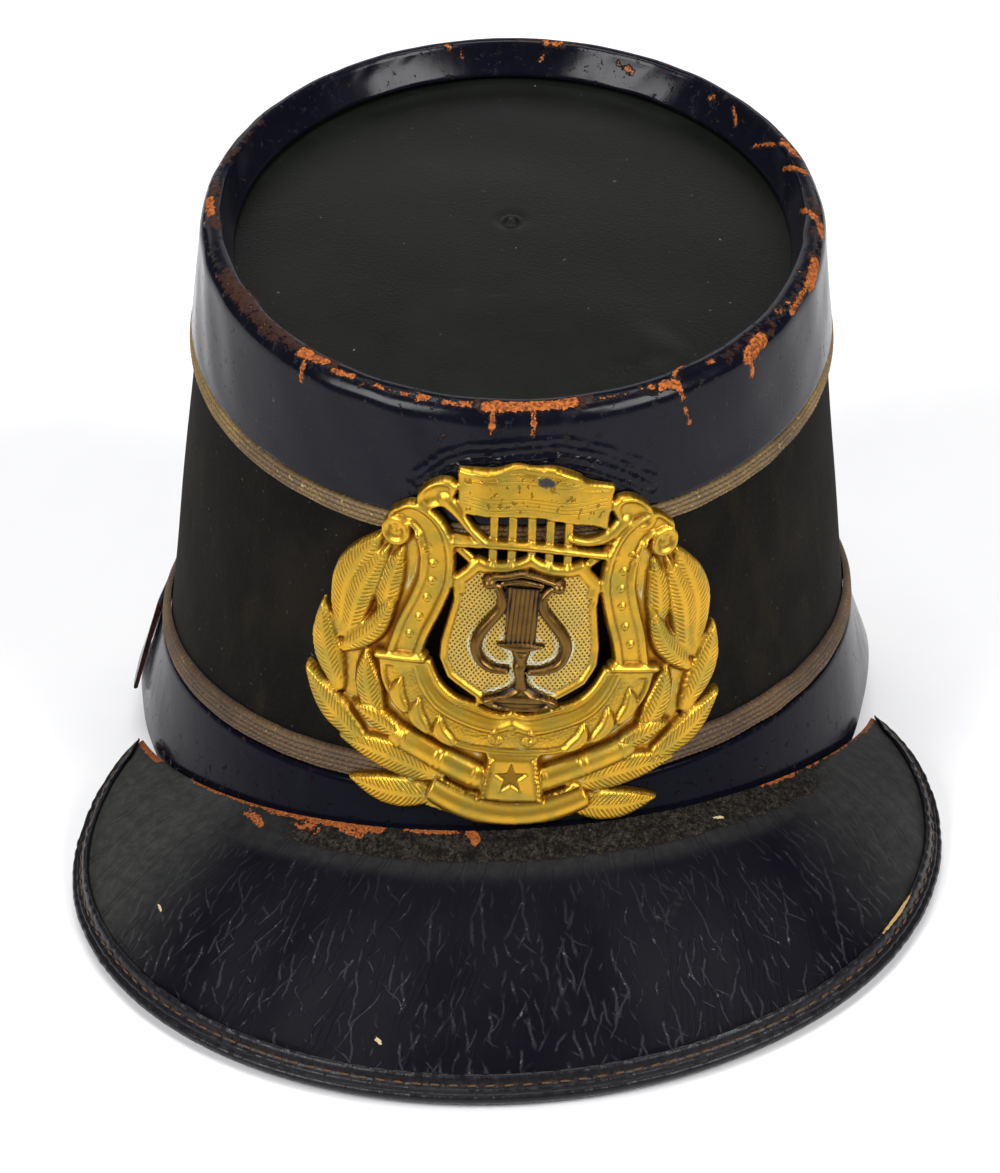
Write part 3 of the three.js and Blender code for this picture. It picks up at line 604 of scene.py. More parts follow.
def stamped_brass(looks):
    """Sheet brass struck in a die: satin lemon yellow on the high places, olive and orange-brown in the low ones,
    painted shade at the feet of raised parts.
    """
    finish, where = new_finish("stamped_brass")
    flat = add(finish, "UVMap", uv_map="flat")
    cloud = uneven(finish, where, 7.0, 3.0, 0.6)
    fine = uneven(finish, where, 0.6, 3.0, 0.6)
    field, stipple, vein, leafy, played, dark, sunk = (
        add(finish, "Attribute", out="Fac", attribute_name=name)
        for name in ("field", "stipple", "vein", "leafy", "music", "dark", "hollow")
    )
    sunk = add(finish, "Math", (sunk, 0.25), operation="SUBTRACT")
    hollow = add(finish, "Math", (fine, 0.5, sunk), operation="MULTIPLY_ADD")
    across = add(finish, "SeparateXYZ", (flat,))
    up = across.node.outputs[1]
    checks = times(finish, waves(finish, across, 1.06), waves(finish, up, 1.36))
    pits = times(finish, (checks, 0.05, 0.8), field)
    cells = add(finish, "TexVoronoi", {"Vector": flat, "Scale": 1 / 0.62}, voronoi_dimensions="2D")
    speckle = times(finish, (cells, 0.7, 0.1), stipple)
    veins = times(finish, (waves(finish, vein, 1.05), -0.2, 0.9), leafy)
    staves = times(finish, (waves(finish, up, 0.82), 0.5, 0.95), (waves(finish, up, 5.6, -math.pi / 2), -0.5, 0.0), 0.6)
    notes = uneven(finish, flat, 1.2, 1.0, 0.5, drawn=(1.0, 0.6, 1.0))
    music = times(finish, highest(finish, staves, (notes, 0.60, 0.66)), played)
    residue = times(finish, worn_where(finish, "residue", [(cloud, 0.5)], 0.6, 1.1), 0.8)
    tarnish = worn_where(finish, "tarnish", [(fine, 0.9)], 0.75, 1.05)
    dull = highest(finish, residue, tarnish)
    # The dark marks take a dark brown along the feet and edges of raised parts: painted shade.
    colour = laid(finish, looks.brass_colour, [
        ((cloud, 0.35, 0.7), 1.0, "#a8903a"), ((hollow, 0.12, 0.6), 0.8, "#9c7524"),
        ((hollow, 0.5, 1.3), 0.85, "#804a16"), (field, 0.55, "#cfb368"), (pits, 0.85, "#4c3714"),
        (speckle, 0.25, "#8a661f"), (veins, 0.6, "#7c5a1b"), (music, 0.65, "#6e4f14"), (dark, 0.75, "#5a4118"),
        (residue, 1.0, "#dfe0c4"), (tarnish, 1.0, "#2b2a2c"),
    ])
    rough = highest(finish, (cloud, 0.3, 0.8, looks.brass_roughness, 0.46), (hollow, 0.2, 0.9, 0.0, 0.55),
                    times(finish, dull, 0.7))
    sunken = highest(finish, pits, times(finish, speckle, 0.35))
    relief = [(sunken, -0.12), (veins, -0.12), (music, -0.07), (fine, 0.035)]
    return finished(finish, colour, rough, relief, {"Metallic": (dull, 0.0, 1.0, 1.0, 0.3)})


def cast_bronze():
    """Small bronze casting, browned, rubbed bright along its ridges and grey in its hollows."""
    finish, where = new_finish("browned_bronze")
    cloud = uneven(finish, where, 2.5, 3.0, 0.6)
    hollow = add(finish, "Attribute", out="Fac", attribute_name="hollow")
    colour = laid(finish, "#49341e", [(cloud, 1.0, "#86652f"), ((hollow, 0.1, 0.6), 0.95, "#1f1c1f")])
    return finished(finish, colour, (cloud, 0.3, 0.8, 0.3, 0.45), [(cloud, 0.05)], {"Metallic": 0.95})


def floor_paper():
    """Matt white studio paper."""
    finish, where = new_finish("matt_white_paper")
    colour = laid(finish, "#efeff2", [(uneven(finish, where, 40.0), 1.0, "#f6f6f6")])
    return finished(finish, colour, 0.9, [], {"Specular IOR Level": 0.2})


# Pieces round the crown

def full_turn(cuts):
    return np.linspace(0, 2 * math.pi, cuts + 1)[:, None] - math.pi


def lengths_along(points):
    """Millimetres along each column of a grid of points."""
    steps = np.linalg.norm(np.diff(points, axis=1), axis=-1)
    return np.concatenate([np.zeros((points.shape[0], 1)), np.cumsum(steps, axis=1)], axis=1)


def ring_flat(turn, along):
    """UV in millimetres for a ring: round the crown at about its own size, and along the profile."""
    return np.stack(np.broadcast_arrays(turn * CROWN_SPAN, along), -1)


def build_felt_wall(looks):
    """The felt crown, from its lower edge up to below the folded rim."""
    turn = full_turn(WALL_CUTS)
    rise = top_height(turn) - base_height(turn)
    top_share = 1 - 7.2 / rise
    rows = np.linspace(0, 1, 41)[None, :]
    seen = hump(rows, 0.5, 0.34)
    uneven = 0.3 * ring_ripple(turn, rows * 2.0, 2.2, 11) * seen
    outer = wall_point(turn, rows * top_share, uneven - 0.05)
    inner = wall_point(turn, (1 - rows) * top_share, -FELT_WALL)
    points = np.concatenate([outer, inner, outer[:, :1]], axis=1)
    fleck_turn, fleck_row = -46.5 * DEGREE, 0.335
    away = np.hypot((turn - fleck_turn) * 80, (rows - fleck_row) * 110)
    fleck = np.concatenate([smooth(1.1 - away), np.zeros_like(away), np.zeros_like(away[:, :1])], axis=1)
    piece = rolled_sheet("felt_crown", points, ring_flat(turn, lengths_along(points)), {"fleck": fleck})
    place(piece, "crown_body", "felt", wool_felt(looks))


def build_leather_top(looks):
    """The sunken leather disc with its pip, slightly slack between its edge and its middle."""
    drop = RIM_DROP + 2 * CLEARANCE
    front, rear = below_rim(0.0, drop, 0.0), below_rim(math.pi, drop, 0.0)
    middle = (front + rear) / 2
    centre = middle + (rear - middle) / np.linalg.norm(rear - middle) * PIP_SHIFT_BACK
    turn = full_turn(RING_CUTS // 2)
    edge = below_rim(turn, drop, -FELT_WALL - CLEARANCE)
    span = np.linalg.norm(edge - centre, axis=-1)
    near = np.array([0, 0.3, 0.6, 0.9, 1.2, 1.6, 2.0, 2.5, 3.1, 3.8]) / 70
    share = np.concatenate([near, np.linspace(0.075, 1.0, 56)])[None, :]
    away = share * span
    pip = looks.pip_height * smooth((PIP_RADIUS - away) / (0.7 * PIP_RADIUS))
    moat = -0.25 * hump(away, 1.25 * PIP_RADIUS, 1.4)
    slack = 0.35 * ripple(away * np.sin(turn), away * np.cos(turn), 60.0, 5) * hump(share, 0.55, 0.45)
    dent = -0.9 * hump(turn / DEGREE, 22, 26) * hump(share, 0.86, 0.12)
    fold = 0.5 * hump(turn / DEGREE, 38, 7) * hump(share, 0.8, 0.2)
    top = centre + (edge - centre) * share[..., None]
    top[..., 2] += DISC_CROWN * (1 - share ** 2) + pip + moat + slack + dent + fold
    inward = share[:, ::-1]
    under = centre + (edge - centre) * inward[..., None]
    flat_part = np.maximum(inward, 0.5)
    under[..., 2] += DISC_CROWN * (1 - inward ** 2) - DISC_LEATHER - DISC_CROWN * (flat_part ** 2 - inward ** 2)
    points = np.concatenate([top, under], axis=1)
    piece = rolled_sheet("leather_top", points, ring_flat(turn, lengths_along(points)))
    place(piece, "crown_top", "top_leather", crown_leather(looks))


# Wear on the rolled rim: turn in degrees and millimetres over the crest, minus down the outside,
# from one end to the other, then half width and depth of the mark
RIM_CHIPS = [
    (-6.5, -0.6, 9.0, -0.4, 1.15, 1.0), (-5.1, -1.0, -5.3, -6.4, 0.30, 0.8), (1.8, -1.0, 1.9, -6.6, 0.40, 0.9),
    (25.8, -1.0, 28.5, -1.6, 1.20, 1.0), (28.5, -2.0, 29.0, -5.0, 0.30, 0.8), (29.6, -7.5, 30.2, -11.0, 0.25, 0.7),
    (29.0, 0.5, 33.5, 4.5, 0.45, 0.8), (44.4, -3.2, 48.8, -2.2, 1.90, 1.1), (44.9, -4.0, 44.9, -8.0, 0.45, 0.9),
    (58.5, -2.6, 66.0, -2.2, 0.55, 0.8), (67.0, -2.5, 73.5, -1.5, 1.50, 1.0), (85.5, -0.5, 91.6, 4.6, 0.60, 0.9),
    (82.0, -2.0, 86.0, -0.5, 0.90, 0.9), (100.9, 0.2, 106.6, 5.2, 0.40, 0.8), (110.6, 1.1, 117.8, 7.4, 0.35, 0.75),
    (106.0, 0.4, 112.0, 0.6, 0.50, 0.7), (127.2, 2.8, 124.9, 6.2, 0.35, 0.8), (132.9, 3.2, 133.6, 4.0, 0.50, 0.7),
    (155.9, 4.2, 152.5, 5.4, 0.40, 0.8), (171.8, 1.4, 168.8, 1.2, 0.90, 0.7), (171.5, 3.0, 172.4, 6.6, 0.40, 0.6),
    (-43.5, -0.2, -38.5, 0.4, 1.20, 1.0), (-41.5, -2.0, -41.6, -6.0, 0.30, 0.8), (-35.6, -0.6, -32.0, -0.4, 0.60, 0.8),
    (-27.0, -0.6, -25.6, -0.6, 0.40, 0.8), (-18.4, -0.6, -16.9, -0.4, 0.60, 0.9), (-22.0, -0.8, -20.5, -0.8, 0.35, 0.8),
    (-168.1, 1.8, -168.8, 4.4, 0.45, 0.7), (-171.0, 3.4, -171.2, 5.6, 0.40, 0.7), (36.0, -0.4, 37.5, -0.2, 0.40, 0.7),
    (13.0, -0.6, 19.0, -0.6, 0.40, 0.6), (-95.0, -0.4, -90.0, 0.4, 1.10, 0.8), (-14.0, -0.7, -9.0, -0.6, 0.40, 0.7),
]
RIM_BROWN = [
    (-71.0, 0.2, -50.0, 0.2, 2.2, 0.75), (-64.0, 3.4, -60.0, 4.0, 1.6, 0.7), (-100.0, 0.0, -86.0, 1.6, 1.6, 0.7),
    (-121.0, 1.6, -107.0, 0.4, 0.9, 0.6), (-50.0, 0.4, -36.0, 0.8, 1.4, 0.7), (40.0, -1.0, 52.0, -1.4, 1.8, 0.6),
    (66.0, -1.5, 92.0, 0.4, 1.4, 0.6), (-8.0, -0.2, 12.0, -0.2, 1.7, 0.65), (165.0, 1.0, 176.0, 1.0, 1.8, 0.6),
]
# The crinkled lip pushed up above the badge: turn in degrees and drop below the rim
CRINKLE = [(-16.5, 20.5), (-12.0, 15.2), (-8.7, 13.2), (0.0, 12.0), (6.5, 11.8), (13.0, 14.6), (18.5, 18.6),
           (22.8, 22.6)]


def from_line(u, v, ends):
    """Distance of each place from a straight line between two ends, both as (u, v)."""
    (u0, v0), (u1, v1) = ends
    du, dv = u1 - u0, v1 - v0
    share = np.clip(((u - u0) * du + (v - v0) * dv) / (du * du + dv * dv + 1e-9), 0, 1)
    return np.hypot(u - u0 - share * du, v - v0 - share * dv)


def marks_from(rows, u, v, scale, soft):
    """Wear from a table of marks, as deep as each row says on its line and gone a little beside it."""
    total = np.zeros(np.broadcast(u, v).shape)
    for u0, v0, u1, v1, half, depth in rows:
        away = from_line(u, v, [(u0 * scale, v0), (u1 * scale, v1)])
        reach = 0.45 * half
        total = np.maximum(total, depth * smooth(1 - (away - reach) / (reach + soft)))
    return total


def build_top_band(looks):
    """Patent leather up the outside, rolled over the rim and down onto the disc."""
    turn = full_turn(RING_CUTS)
    bend = np.linspace(0, math.pi * 0.7, 15)[None, 1:]
    radius = mix(2.1, 3.7, smooth(0.5 + np.cos(turn)))
    outer = CLEARANCE + BAND_LEATHER
    face_drop = mix(TOP_BAND_HEIGHT - 0.35, radius, np.linspace(0, 1, 44)[None, :-1])
    roll_out, roll_drop = outer - radius + radius * np.cos(bend), radius - radius * np.sin(bend)
    down = np.linspace(0, 1, 12)[None, 1:]
    slope_out = mix(roll_out[:, -1:], -RIM_WIDTH, down)
    slope_drop = mix(roll_drop[:, -1:], RIM_DROP - 1.0, down) + 0.35 * np.sin(math.pi * down)
    hidden = np.array([
        (-RIM_WIDTH - 0.15, RIM_DROP - 0.6), (-RIM_WIDTH, RIM_DROP - 0.1), (BAND_LEATHER - RIM_WIDTH, RIM_DROP),
        (-3.4, 5.2), (-1.6, 5.0), (CLEARANCE, 6.5), (CLEARANCE, 12.0), (CLEARANCE, TOP_BAND_HEIGHT - 0.4),
        (CLEARANCE + 0.3, TOP_BAND_HEIGHT), (outer - 0.35, TOP_BAND_HEIGHT), (outer, TOP_BAND_HEIGHT - 0.35),
    ])
    whole = np.ones_like(turn)
    out = np.concatenate([outer + 0 * face_drop, roll_out, slope_out, whole * hidden[:, 0]], axis=1)
    drop = np.concatenate([face_drop, roll_drop, slope_drop, whole * hidden[:, 1]], axis=1)
    over = np.concatenate([0 * turn, np.cumsum(np.hypot(np.diff(out), np.diff(drop)), axis=1)], axis=1)
    over = over - over[:, face_drop.shape[1] + 7:face_drop.shape[1] + 8]
    shown = smooth((over + 27) / 4) * smooth((12 - over) / 2)
    shown = shown * (np.arange(out.shape[1]) < out.shape[1] - len(hidden))
    degrees = turn / DEGREE
    bumps = 0.14 * ring_ripple(turn, over / 14, 4.5, 3) + 0.08 * ring_ripple(turn, over / 5, 11, 4) * hump(over, 1, 6)
    arc = 78.0 * DEGREE
    away = np.min([from_line(degrees * arc, -over, [(a[0] * arc, a[1]), (b[0] * arc, b[1])])
                   for a, b in zip(CRINKLE, CRINKLE[1:])], axis=0)
    pucker = 0.65 + 0.5 * ripple(turn * arc / DEGREE, over, 2.6, 12) + 0.3 * ripple(turn * arc / DEGREE, over, 6.5, 13)
    wrinkle = pucker * (0.55 * hump(away, 0.0, 1.0) + 0.4 * hump(away, 2.0, 0.8) + 0.25 * hump(away, 3.8, 0.8))
    bare = marks_from(RIM_CHIPS, degrees * arc, over, arc, 0.9)
    rubbed = 0.5 + 0.5 * ring_ripple(turn, over / 40, 3.0, 17)
    bare = np.maximum(bare, 0.5 * rubbed * hump(over, -0.6, 2.4) * smooth((150 - np.abs(degrees - 20)) / 40))
    brown = marks_from(RIM_BROWN, degrees * arc, over, arc, 2.4)
    push = shown * (bumps + 1.15 * np.clip(wrinkle, 0, 1))
    points = below_rim(turn, drop, out + push)
    scratch = hump(away, 0.9, 2.0) * (np.abs(degrees) < 26) * 0.52
    marks = {"chip": bare * shown, "brown": brown * shown, "scratch": scratch * shown}
    piece = rolled_sheet("rim_band", points, ring_flat(turn, np.broadcast_to(over, points.shape[:2])), marks)
    place(piece, "top_band", "patent_leather", patent_leather("rim_patent_leather", looks, 0.08, 0.16))


def braid_points(turn, at, start, width, thickness, ribs, strand_length):
    """A flat braid: lengthwise ribs of slanting strands, as points and how proud each place stands."""
    across = np.concatenate([np.linspace(0, 1, 5 * ribs + 1), [1.0, 0.5, 0.0]])[None, :]
    face = np.arange(across.shape[1])[None, :] <= 5 * ribs
    rib = np.floor(np.clip(across, 0, 0.9999) * ribs)
    inside = across * ribs - rib
    slant = np.where(rib % 2 == 0, inside, 1 - inside)
    phase = turn * CROWN_SPAN / strand_length + slant * 0.9 + rib * 0.5
    strand = np.abs(np.sin(math.pi * phase)) ** 0.6
    ridge = np.sin(math.pi * np.clip(inside, 0.02, 0.98)) ** 0.5
    shoulder = np.sqrt(np.clip(1 - (2 * across - 1) ** 4, 0, 1))
    proud = shoulder * (0.7 + 0.3 * ridge * (0.3 + 0.7 * strand))
    uneven = 0.12 * ring_ripple(turn, across, 7, 8)
    out = np.where(face, CLEARANCE + thickness * proud, CLEARANCE)
    points = at(turn, start + across * width + uneven * width * 0.2, out)
    return points, np.where(face, ridge * (0.3 + 0.7 * strand), 0.3)


def build_braids(looks):
    """Two woven braids: a narrow one under the rim band and a wider one over the lower band."""
    turn = full_turn(BRAID_CUTS)
    for name, node, at, start, width, thickness, ribs, look in (
        ("upper_woven_braid", "upper_braid", below_rim, TOP_BAND_HEIGHT, UPPER_BRAID_WIDTH, UPPER_BRAID_THICKNESS, 4,
         ("tarnished_gilt_braid", "#987a42", "#6e5635", "#241b10", 0.6)),
        ("lower_woven_braid", "lower_braid", above_base, LOWER_BAND_HEIGHT, LOWER_BRAID_WIDTH, LOWER_BRAID_THICKNESS, 5,
         ("dulled_brown_braid", "#6e5230", "#523c24", "#1a120a", 0.25)),
    ):
        points, strand = braid_points(turn, at, start + CLEARANCE, width, thickness, ribs, looks.strand_length)
        flat = ring_flat(turn, lengths_along(points))
        piece = rolled_sheet(name, points, flat, {"strand": strand}, angle=80)
        place(piece, node, "braid", woven_braid(*look))


def build_lower_band(looks):
    """The patent leather strip round the base, with its lap at the viewer's left."""
    start, end = LAP_TURN - LAP_LENGTH, LAP_TURN + 2 * math.pi
    turn = np.linspace(start, end, 421)[:, None]
    wrapped = np.where(turn > math.pi, turn - 2 * math.pi, turn)
    over_lap = smooth((turn - (start + 2 * math.pi)) / (10 * DEGREE) + 1)
    up = np.linspace(0.012, 0.988, 22)
    rows = [(0.0, 0.01), (0.0, 0.5), (0.0, 0.99), (0.35, 1.0), (0.75, 1.0)] + [(1.0, u) for u in up[::-1]]
    rows += [(0.75, 0.0), (0.35, 0.0), (0.0, 0.01)]
    rows = np.array(rows)
    height = rows[:, 1][None, :] * LOWER_BAND_HEIGHT
    outward = rows[:, 0][None, :]
    lift = over_lap * (BAND_LEATHER + CLEARANCE) + 0.5 * smooth((turn - end) / (7 * DEGREE) + 1)
    uneven = ripple(turn * 85, height, 30.0, 21) * 0.35 * smooth(1 - height / LOWER_BAND_HEIGHT)
    out = lower_band_inside(wrapped, height) + lift + outward * BAND_LEATHER + uneven * outward
    points = above_base(wrapped, height, out)
    ends = np.maximum(smooth(1 - (turn - start) * 80 / 1.5), smooth(1 - (end - turn) * 80 / 1.5))
    seam = hump(height, LOWER_BAND_HEIGHT, 1.1) * (outward > 0.5)
    marks = {
        "chip": 0.1 * seam,
        "brown": 0.7 * ends + 0.4 * hump(height, LOWER_BAND_HEIGHT, 3.0) * (outward > 0.5),
        "scratch": 0.35 * hump(height, 2.0, 9.0),
    }
    flat = ring_flat(turn, lengths_along(points))
    piece = rolled_sheet("lower_patent_band", points, flat, marks, cap=True)
    place(piece, "lower_band", "patent_leather", patent_leather("band_patent_leather", looks, 0.08, 0.04))


# The peak

PEAK_BARE = [
    (-115.0, 0.0, -100.0, 0.0, 1.8, 1.0), (-84.0, 0.0, -56.0, 0.0, 0.6, 0.85), (-57.0, 0.0, -29.0, 0.4, 1.5, 0.9),
    (-62.0, 2.5, -56.0, 4.5, 1.4, 0.75), (-48.0, 2.2, -43.0, 3.2, 1.4, 0.75), (-38.0, 1.0, -33.0, 2.2, 1.6, 0.85),
    (-24.0, 0.0, -12.0, 0.3, 0.6, 0.8), (-9.5, 0.0, -8.0, 2.4, 1.5, 0.95), (60.0, 0.0, 70.0, 0.2, 0.8, 0.8),
    (70.0, 0.0, 115.0, 0.0, 0.6, 0.7), (104.0, 0.0, 115.0, 0.0, 1.3, 0.9),
]
PEAK_SCUFFS = [
    (24.5, 24.5, 28.5, 22.0, 2.6, 0.55), (-63.0, 34.0, -57.0, 36.0, 2.5, 0.35), (44.0, 30.0, 50.0, 30.0, 1.0, 0.4),
    (8.0, 33.0, 10.0, 33.0, 1.0, 0.4), (-30.0, 52.0, -14.0, 54.0, 1.6, 0.3),
]
PEAK_PALE = [
    (43.5, 4.6, 45.5, 4.9, 0.3, 0.85), (44.6, 3.0, 45.0, 3.2, 0.2, 0.7), (-18.4, 48.8, -17.4, 49.8, 0.35, 0.85),
    (-62.0, 32.0, -61.0, 33.0, 0.3, 0.8), (16.0, 0.5, 16.5, 2.0, 0.3, 0.7), (38.0, 26.4, 41.0, 25.4, 0.15, 0.5),
]


def build_peak(looks):
    """The deep peak: crazed on its face, with a raw worn edge where it laps over the lower band."""
    sweep = np.linspace(-PEAK_SWEEP, PEAK_SWEEP, PEAK_CUTS + 1)[:, None]
    lift = edge_lift(sweep)
    share = np.concatenate([np.linspace(0, 0.12, 13), np.linspace(0.12, 1.0, 76)[1:]])[None, :]
    point, _, normal = peak_face(sweep, share, lift)
    along = lengths_along(point)
    degrees = sweep / DEGREE
    reach = along[:, -1:]
    middle = np.exp(-(degrees / 48) ** 2)
    under_binding = smooth((reach - along - 5.0) / 1.5)
    dents = 0.35 * ripple(sweep * 80, along * 0.4, 24.0, 31) * under_binding * smooth(along / 6)
    frayed = 0.35 * ripple(sweep * 80, along, 3.2, 33) * smooth(1 - along / 6) * middle
    ridge = -0.55 * hump(along, 9.0, 5.0) * middle
    upper = point + normal * (dents + frayed + ridge)[..., None]
    lower = (point - normal * PEAK_LEATHER)[:, ::-1]
    points = np.concatenate([upper, lower, upper[:, :1]], axis=1)
    hidden = np.zeros_like(along)
    last = np.zeros_like(along[:, :1])
    close = smooth((9.5 - along) / 4.5)
    worn = 0.95 * close * smooth((degrees + 62) / 25) * smooth((90 - degrees) / 30) + 0.45 * smooth(1 - along / 3.0)
    crazed = smooth((along - 8) / 8) * smooth((88 - np.abs(degrees)) / 30) * (0.45 + 0.55 * smooth((along - 18) / 20))
    # The sides, more on the viewer's left, are matt and are painted lighter grey: a real matt finish with painted
    # sheen. Just below the root the varnish is rubbed matt.
    matt = mix(0.5, 0.72, smooth(-degrees / 60)) * smooth((np.abs(degrees) - 50) / 26)
    matt = np.maximum(matt, 0.3 * smooth(1 - (along - 9) / 4))
    u = degrees * PEAK_MARK_SPAN
    bare = marks_from(PEAK_BARE, u, along, PEAK_MARK_SPAN, 1.0)
    scuff = marks_from(PEAK_SCUFFS, u, along, PEAK_MARK_SPAN, 2.0)
    pale = marks_from(PEAK_PALE, u, along, PEAK_MARK_SPAN, 0.9)

    def whole(values, edge):
        return np.concatenate([np.broadcast_to(values, along.shape), hidden + edge, last + values[:, :1]], axis=1)

    marks = {
        "worn": whole(worn, 0.9), "bare": whole(bare, 0.0), "scuff": whole(scuff, 0.0), "pale": whole(pale, 0.0),
        "crazed": whole(crazed, 0.0), "matt": whole(matt, 0.6),
    }
    across = np.concatenate([along, along[:, ::-1] + 200, along[:, :1]], axis=1)
    flat = np.stack(np.broadcast_arrays(sweep * PEAK_SPAN, across), -1)
    piece = rolled_sheet("crazed_peak", points, flat, marks, cap=True)
    place(piece, "peak", "peak_leather", peak_leather(looks))


# Across the binding: along the peak's face, and over it; the lip is a fuller roll than the rest
BINDING_SECTION = [
    (-5.4, 0.3), (-5.55, 0.75), (-5.3, 1.15), (-4.6, 1.25), (-3.9, 1.1), (-3.3, 0.85), (-2.8, 0.8), (-2.3, 1.0),
    (-1.9, 1.2), (-1.5, 1.02), (-1.25, 0.85), (-1.0, 0.98), (-0.6, 1.2), (-0.1, 1.22), (0.35, 1.05), (0.75, 0.6),
    (1.0, -0.1), (1.14, -0.9), (1.1, -1.7), (0.9, -2.4), (0.6, -2.9), (0.2, -3.15), (-0.6, -3.2), (-2.6, -3.2),
    (-5.0, -3.2), (-5.4, -3.0), (-5.4, -2.3), (-2.5, -2.3), (0.3, -2.3), (0.3, -1.0), (0.3, 0.3), (-2.5, 0.3),
]


def binding_place(sweep, lift, along, over):
    """A place on the binding, which lies between its start on the peak's face and just past the edge."""
    start = binding_start(sweep, lift)
    share = 1 + np.clip(along, -BINDING_WIDTH - 0.2, 0) / BINDING_WIDTH * (1 - start)
    point, tangent, normal = peak_face(sweep, share, lift)
    return point + tangent * np.maximum(along, 0)[..., None] + normal * over[..., None]


def build_binding(looks):
    """Folded leather round the peak's edge, with its line of stitches."""
    sweep = np.linspace(-PEAK_SWEEP, PEAK_SWEEP, 2 * PEAK_CUTS + 1)[:, None]
    lift = edge_lift(sweep)
    section = np.array(BINDING_SECTION + BINDING_SECTION[:1])
    along, over = section[:, 0][None, :], section[:, 1][None, :]
    pulled = 0.1 * ripple(sweep * EDGE_SPAN, over, 2.6, 41) + 0.12 * ripple(sweep * EDGE_SPAN, over, 9.0, 42)
    proud = np.where((over > 0.5) | (along > 0.6), pulled, 0.0) * smooth((over + 2.6) / 1.0)
    points = binding_place(sweep, lift, np.broadcast_to(along, proud.shape), over + proud)
    degrees = sweep / DEGREE
    seam = hump(along, -5.2, 0.9) * (over > 0)
    left = hump(degrees, -62, 20)
    marks = {
        "rubbed": 0.62 * hump(along, -3.1, 1.4) * (over > 0) + 0.35 * left * seam,
        "pale": 1.15 * seam * hump(degrees, 63, 12),
    }
    flat = np.stack(np.broadcast_arrays(sweep * EDGE_SPAN, lengths_along(points)), -1)
    piece = rolled_sheet("peak_binding_fold", points, flat, marks, cap=True)
    place(piece, "peak_binding", "binding_leather", binding_leather(looks))


def build_stitches(looks):
    """Short stitches sunk along the binding, each a small capsule laid along the line."""
    fine = np.linspace(-PEAK_SWEEP * 0.985, PEAK_SWEEP * 0.985, 2001)
    lift = edge_lift(fine)
    line = binding_place(fine, lift, np.full_like(fine, -2.95), np.full_like(fine, 0.9))
    run = np.concatenate([[0], np.cumsum(np.linalg.norm(np.diff(line, axis=0), axis=1))])
    count = int(run[-1] / looks.stitch_pitch)
    middles = (np.arange(count) + 0.5) * looks.stitch_pitch
    bpy.ops.object.select_all(action="DESELECT")
    bpy.ops.mesh.primitive_uv_sphere_add(segments=8, ring_count=6, radius=1.0, location=(0, 0, 0))
    stitch = bpy.context.object
    stitch.name = "binding_stitches"
    shape = np.empty(len(stitch.data.vertices) * 3)
    stitch.data.vertices.foreach_get("co", shape)
    shape = shape.reshape(-1, 3)
    body = np.sign(shape) * np.abs(shape) ** np.array([0.6, 1.0, 1.0])
    half_length, half_thick = 0.5 * looks.stitch_length, 0.27
    copies = [stitch]
    for _ in range(count - 1):
        twin = stitch.copy()
        twin.data = stitch.data.copy()
        bpy.context.scene.collection.objects.link(twin)
        copies.append(twin)
    for copy, middle in zip(copies, middles):
        at = np.array([np.interp(middle, run, line[:, k]) for k in range(3)])
        ahead = np.array([np.interp(middle + 0.5, run, line[:, k]) for k in range(3)])
        behind = np.array([np.interp(middle - 0.5, run, line[:, k]) for k in range(3)])
        along = (ahead - behind) / np.linalg.norm(ahead - behind)
        sweep = np.interp(middle, run, fine)
        _, _, up = peak_face(np.array(sweep), 0.95, edge_lift(np.array([sweep]))[0])
        side = np.cross(up, along)
        lean = math.sin(middle * 1.7) * 0.08
        along = along + side * lean
        points = at + body[:, :1] * half_length * along + body[:, 1:2] * half_thick * side
        points = points + (body[:, 2:] * half_thick * 0.8 + 0.06) * up
        set_points(copy.data, points)
    bpy.ops.object.select_all(action="DESELECT")
    for copy in copies:
        copy.select_set(True)
    bpy.context.view_layer.objects.active = stitch
    bpy.ops.object.join()
    only(stitch)
    bpy.ops.object.shade_smooth()
    place(stitch, None, "binding_leather", stitch_thread())


# The badge: a relief worked out on a fine grid in the badge's own plane

WREATH_CELL = 0.34
LYRE_CELL = 0.29
SMALL_LYRE_CELL = 0.24

# Laurel leaves of the right half: foot, tip, half width, sideways bow, layer
LEAVES = [
    (41.0, -2.5, 33.0, 22.6, 3.9, 2.6, 1), (38.8, -2.6, 31.0, 20.4, 3.0, 1.4, 2), (31.0, 4.0, 27.8, 21.0, 2.7, 0.6, 1),
    (39.2, -6.0, 28.3, 9.5, 2.4, -1.6, 3), (40.5, -15.5, 46.1, 2.4, 3.5, 1.0, 2),
    (33.5, -26.0, 49.2, -13.6, 3.3, 0.8, 3),
    (30.0, -19.5, 34.0, -4.8, 3.0, 0.8, 3), (24.0, -22.6, 36.2, -18.0, 2.3, -0.6, 4),
    (15.0, -30.5, 39.0, -27.2, 3.6, -0.9, 2), (15.5, -35.8, 35.8, -36.4, 3.5, 0.6, 1),
]
# The sheet under the leaves, as the corners of its right half
GROUND = [(0.0, -21.0), (9.0, -19.5), (16.0, -17.0), (21.5, -13.5), (25.2, -9.0), (26.5, -4.0), (24.3, 3.0),
          (21.8, 9.3), (20.6, 15.6), (21.2, 21.2), (24.5, 24.5), (29.5, 24.0), (32.5, 22.0), (36.5, 17.0),
          (39.5, 9.5), (42.3, 0.5), (42.0, -9.5), (38.5, -19.0), (31.5, -27.5), (22.0, -33.5),
          (12.0, -36.5), (0.0, -37.0)]
ARM = [(29.6, 27.4), (26.4, 29.0), (22.6, 26.6), (20.4, 21.6), (20.0, 15.6), (21.6, 9.3), (23.8, 3.1), (25.4, -3.6)]
ARM_RIVETS = [(24.7, 25.0), (22.4, 22.2), (20.8, 18.8), (20.7, 14.8), (21.4, 10.6), (22.7, 5.8), (24.4, 1.4)]
